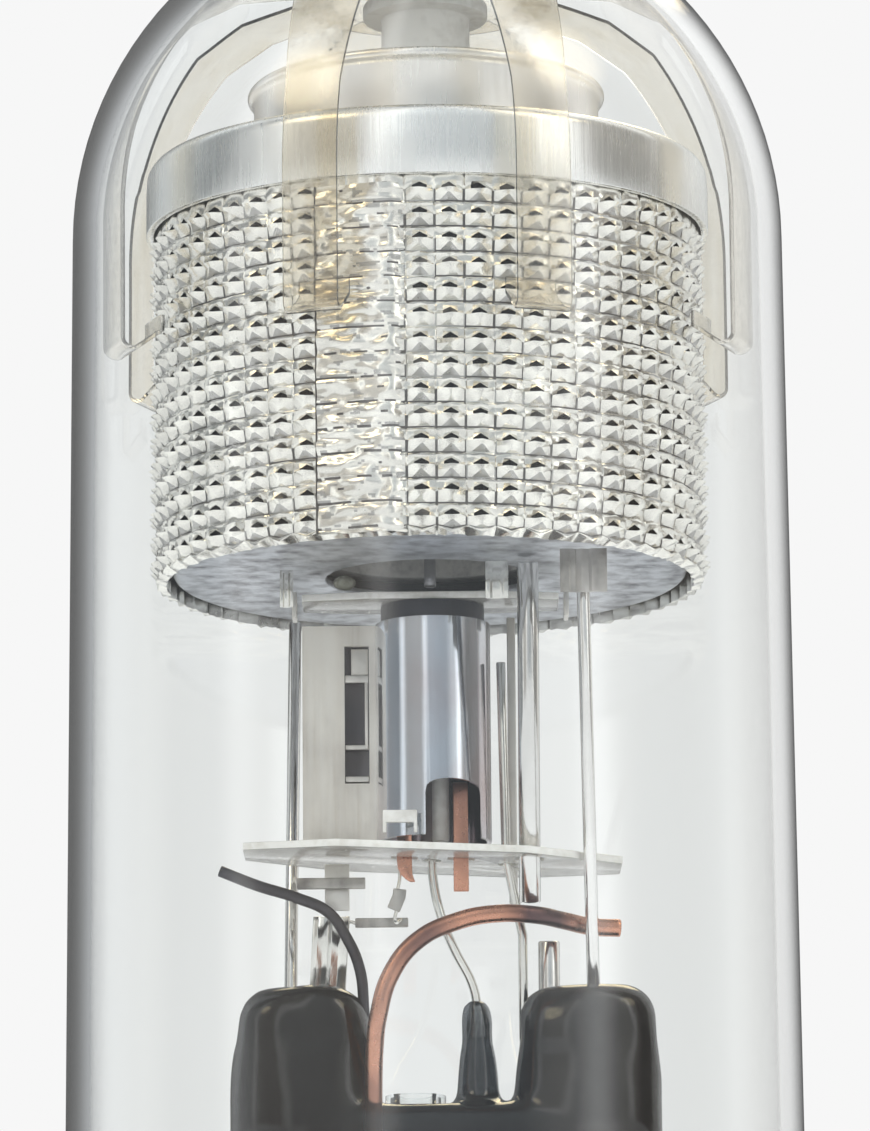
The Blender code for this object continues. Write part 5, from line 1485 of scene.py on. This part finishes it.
@dataclass
class Base(Assembly):
    """Rolled metal base with its insert, pins, bayonet pin and cement."""

    radius: float = 17.45
    wall: float = 0.6
    bottom: float = 15.0
    top: float = 46.0
    lip: float = 1.8
    insert_top: float = 19.5
    pin_circle: float = 8.13
    stout_pin: float = 1.98
    slim_pin: float = 1.59
    bayonet_turn: float = math.radians(40)

    def build(self) -> None:
        """Turn the shell, the pins and the cement and dress the rest."""
        self.shell()
        self.dress(eased(refined("base_insert"), 0.15, 2, 50), "base_insert", "phenolic")
        for number in range(4):
            self.pin(number)
        self.dress(eased(refined("bayonet_pin"), 0.08, 3), "bayonet_pin", "pin_brass")
        inner, outer, top = 15.55, 16.55, self.top - 0.6
        ring = [(inner, 37.0), (outer, 37.0), (outer, top)]
        ring += [(outer - (outer - inner) * k / 6, top + 0.3 * math.sin(math.pi / 2 * k / 6)) for k in range(1, 7)]
        self.dress(eased(turned(ring), 0, angle=50), "base_cement", "cement")

    def shell(self) -> None:
        """Shell with a rolled bead at its mouth and a turned-in lip at its foot."""
        inside, lip = self.radius - self.wall, self.radius - self.lip
        outline = [(lip, self.bottom), (inside, self.bottom)]
        outline += arc((self.radius - 0.6, self.bottom + 0.6), 0.6, -80, 0, 6)
        outline += [(self.radius, self.top - 1.5)]
        outline += arc((self.radius - 0.1, self.top - 0.8), 0.5, -60, 60, 8)
        outline += [(self.radius, self.top - 0.15), (self.radius - 0.15, self.top), (inside, self.top)]
        outline += [(inside, self.bottom + self.wall), (lip, self.bottom + self.wall)]
        base = turned(outline, steps=160)
        out = Vector(front(1.0, self.bayonet_turn))
        bpy.ops.object.select_all(action="DESELECT")
        bpy.ops.mesh.primitive_cylinder_add(vertices=32, radius=0.85 * MM, depth=3 * MM,
                                            location=(out * (self.radius - 0.3) + Vector((0, 0, 26))) * MM,
                                            rotation=out.to_track_quat("Z", "Y").to_euler())
        hole = bpy.context.object
        bpy.ops.object.transform_apply(location=True, rotation=True, scale=True)
        cut(base, hole)
        self.dress(eased(sealed(base), 0.05, 2, 40), "base_shell", "plated_brass")

    def pin(self, number: int) -> None:
        """One hollow pin, headed above the insert and closed with solder at its tip.

        Args:
            number: Place of the pin, from 0; the first two are the stout ones.
        """
        radius = self.stout_pin if number < 2 else self.slim_pin
        x, y, _ = front(self.pin_circle, (number + 0.5) * math.pi / 2)
        head = self.insert_top + 0.3
        outline = [(0, 0)] + [(radius * 0.45, 0.0)] + arc((radius - 0.6, 0.6), 0.6, -80, 0, 5)
        outline += [(radius, 13.6), (radius - 0.08, 13.75), (radius - 0.08, 14.0), (radius, 14.15)]
        outline += [(radius, head), (radius + 0.8, head), (radius + 0.8, head + 0.8)]
        outline += [(0.65, head + 0.8), (0.65, 15.0), (0, 15.0)]
        piece = self.parted(turned(outline, (x, y), 48), ("pin_brass", "solder"),
                            lambda face: int(face.center.z < 0.55 * MM))
        self.dress(eased(piece, 0.04, 1, 40), f"pin_{number + 1}", "pin_brass")


@dataclass
class TopCap(Assembly):
    """Anode cap and the cement under it."""

    radius: float = 7.15
    wall: float = 0.5
    bottom: float = 138.433
    top: float = 151.431
    rounding: float = 1.2

    def build(self) -> None:
        """Turn the cap with a rolled foot, dimple its top and dress the cement."""
        inner = self.radius - self.wall
        outline = [(self.radius - 0.15, self.bottom)]
        outline += arc((self.radius - 0.3, self.bottom + 0.45), 0.3, -60, 60, 6)
        outline += [(self.radius - 0.2, self.bottom + 0.9)]
        corner = (self.radius - 0.05 - self.rounding, self.top - self.rounding)
        outline += [(self.radius - 0.05, self.bottom + 1.3)] + arc(corner, self.rounding, 0, 90, 8)
        outline += [(2.2, self.top), (1.8, self.top - 0.12), (1.2, self.top - 0.2), (0, self.top - 0.2)]
        outline += [(0, self.top - self.wall), (inner, self.top - self.wall), (inner, self.bottom)]
        self.dress(eased(turned(outline, steps=112), 0, angle=40), "anode_cap", "cap_metal")
        self.dress(eased(refined("cap_cement"), 0.1), "cap_cement", "cement")


@dataclass
class Studio:
    """Pale floor, soft lamps, pale surroundings and the camera."""

    distance: float = 400.0
    elevation: float = math.radians(11.3)
    aim: float = 102.70
    focal_pixels: float = 7480.0
    frame_height: float = 1131.0
    shift_pixels: float = 5.0
    roll: float = math.radians(-0.5)
    mirrored: tuple[tuple[float, float, float], ...] = (
        (-90, 0.25, -0.06), (-74, 0.25, -0.06), (-64, 1.3, 0.0), (-54, 0.5, 0.04), (-24, 0.55, 0.04),
        (-16, 1.4, 0.0), (-8, 0.62, -0.05), (24, 0.5, -0.06), (43, 0.9, 0.0), (53, 2.0, 0.0), (62, 0.55, 0.05),
        (72, 0.22, 0.06), (100, 0.3, 0.06), (114, 0.9, 0.03), (150, 0.8, 0.0), (172, 0.14, 0.0),
        (200, 0.16, 0.0), (240, 0.8, -0.03), (262, 0.25, -0.05))
    soft_boxes: tuple[tuple[Point, float, float, float], ...] = (
        ((-0.55, -0.5, 0.67), 0.978, 0.992, 3.0), ((0.6, -0.32, 0.73), 0.98, 0.993, 2.6),
        ((0.1, 0.75, 0.65), 0.96, 0.98, 4.0))

    def build(self) -> None:
        """Set up everything round the tube."""
        self.floor()
        self.lamps()
        self.surroundings()
        self.camera()
        bpy.context.scene.view_settings.view_transform = "Standard"

    def floor(self) -> None:
        """Pale plain floor; mirrored rays see it glow instead, as painted light that is brighter near the tube."""
        bpy.ops.object.select_all(action="DESELECT")
        bpy.ops.mesh.primitive_plane_add(size=6.0)
        floor = bpy.context.object
        floor.name = "studio_floor"
        tree = Tree("pale floor")
        tree.set(Base_Color=(0.86, 0.86, 0.87, 1.0), Roughness=0.85)
        place = tree.add("TexCoord").outputs["Object"]
        away = tree.add("VectorMath", {0: place}, operation="LENGTH").outputs["Value"]
        # Painted light: for glossy rays the floor glows, brightest close to the tube and dimmer further out.
        near = tree.spread(away, 1.38, 1.02, 0.06, 0.3)
        shade = tree.add("Emission", {"Color": (0.97, 0.98, 1.0, 1.0), "Strength": near})
        depth = tree.add("LightPath").outputs["Glossy Depth"]
        glossy = tree.add("Math", {0: depth, 1: 0.5}, operation="GREATER_THAN")
        both = tree.add("MixShader", {0: glossy.outputs[0], 1: tree.shader.outputs[0], 2: shade.outputs[0]})
        tree.feed(tree.output.inputs["Surface"], both.outputs[0])
        floor.data.materials.append(tree.material)

    def lamps(self) -> None:
        """Three soft boxes: a key on the left, a fill on the right and one above behind."""
        boxes = (("key_box", (-420, -480, 330), 360, 1.7), ("fill_box", (520, -300, 200), 300, 0.9),
                 ("top_box", (60, 380, 620), 420, 1.4))
        for name, place, size, power in boxes:
            lamp = bpy.data.lights.new(name, "AREA")
            lamp.shape, lamp.size, lamp.energy = "SQUARE", size * MM, power
            holder = bpy.data.objects.new(name, lamp)
            holder.visible_camera = holder.visible_glossy = holder.visible_transmission = False
            bpy.context.scene.collection.objects.link(holder)
            holder.location = Vector(place) * MM
            aim = Vector((0, 0, 105)) * MM - holder.location
            holder.rotation_euler = aim.to_track_quat("-Z", "Y").to_euler()

    def surroundings(self) -> None:
        """Pale backdrop that metal and glass show too, with soft darker gaps that only mirrors see."""
        world = bpy.data.worlds.new("studio")
        bpy.context.scene.world = world
        world.use_nodes = True
        nodes, links = world.node_tree.nodes, world.node_tree.links
        nodes.clear()

        def add(kind: str, **feeds: object) -> bpy.types.Node:
            """Add a world node and set its inputs by number."""
            node = nodes.new(f"ShaderNode{kind}")
            for key, value in feeds.items():
                socket = node.inputs[int(key[1:])]
                if isinstance(value, bpy.types.NodeSocket):
                    links.new(value, socket)
                else:
                    socket.default_value = value
            return node

        path = add("LightPath").outputs
        where = add("TexCoord").outputs["Generated"]
        around = add("TexGradient", _0=where)
        around.gradient_type = "RADIAL"
        bands = add("ValToRGB", _0=around.outputs["Fac"])
        ramp = bands.color_ramp.elements
        bands.color_ramp.interpolation = "EASE"
        for number, (turn, bright, tint) in enumerate(self.mirrored):
            stop = ramp[0] if number == 0 else ramp.new((0.25 + turn / 360) % 1.0)
            stop.position = (0.25 + turn / 360) % 1.0
            stop.color = (bright * (1 + tint), bright, bright * (1 - tint), 1.0)
        ramp.remove(ramp[len(ramp) - 1])
        height = add("SeparateXYZ", _0=where).outputs["Z"]
        glow = add("MapRange", _0=height, _1=-0.6, _2=0.7, _3=0.55, _4=1.4).outputs[0]
        soft_light = None
        for towards, edge, full, bright in self.soft_boxes:
            facing = add("VectorMath", _0=where, _1=Vector(towards).normalized())
            facing.operation = "DOT_PRODUCT"
            box = add("MapRange", _0=facing.outputs["Value"], _1=edge, _2=full, _3=0.0, _4=bright).outputs[0]
            if soft_light is None:
                soft_light = box
            else:
                soft_light = add("Math", _0=soft_light, _1=box).outputs[0]
        soft = add("Background", _0=(0.97, 0.98, 1.0, 1.0), _1=0.78)
        pale = add("Background", _0=(0.93, 0.93, 0.93, 1.0), _1=1.0)
        striped = add("Background", _0=bands.outputs[0], _1=glow)
        boxes = add("Background", _0=(1.0, 0.84, 0.55, 1.0), _1=soft_light)
        mirrored = add("AddShader", _0=striped.outputs[0], _1=boxes.outputs[0])
        glossy = add("Math", _0=path["Glossy Depth"], _1=0.5)
        glossy.operation = "GREATER_THAN"
        seen = add("Math", _0=path["Is Camera Ray"], _1=path["Is Transmission Ray"])
        seen.operation = "MAXIMUM"
        plain = add("MixShader", _0=seen.outputs[0], _1=soft.outputs[0], _2=pale.outputs[0])
        both = add("MixShader", _0=glossy.outputs[0], _1=plain.outputs[0], _2=mirrored.outputs[0])
        out = nodes.new("ShaderNodeOutputWorld")
        links.new(both.outputs[0], out.inputs["Surface"])

    def camera(self) -> None:
        """Camera a little below the can, looking up at it."""
        data = bpy.data.cameras.new("view")
        data.lens = self.focal_pixels / self.frame_height * data.sensor_width
        data.shift_x = self.shift_pixels / self.frame_height
        data.clip_start, data.clip_end = 0.01, 20.0
        camera = bpy.data.objects.new("view", data)
        bpy.context.scene.collection.objects.link(camera)
        back, down = self.distance * math.cos(self.elevation), self.distance * math.sin(self.elevation)
        camera.location = Vector((0, -back, self.aim - down)) * MM
        level = Matrix.Rotation(math.pi / 2 + self.elevation, 4, "X")
        camera.rotation_euler = (level @ Matrix.Rotation(self.roll, 4, "Z")).to_euler()
        bpy.context.scene.camera = camera


def main() -> None:
    """Build every sub-assembly and the studio."""
    logging.basicConfig(level=logging.INFO, format="%(name)s %(message)s")
    finishes = Finishes()
    drum = EmbossedDrum(finishes)
    drum.build()
    drum.lap()
    for kind in (CanTop, InnerStack, MicaSpring, Reservoir, Harness, Stem, Base, TopCap, Bulb):
        kind(finishes).build()
        log.info("%s done", kind.__name__)
    Studio().build()


if __name__ == "__main__":
    main()
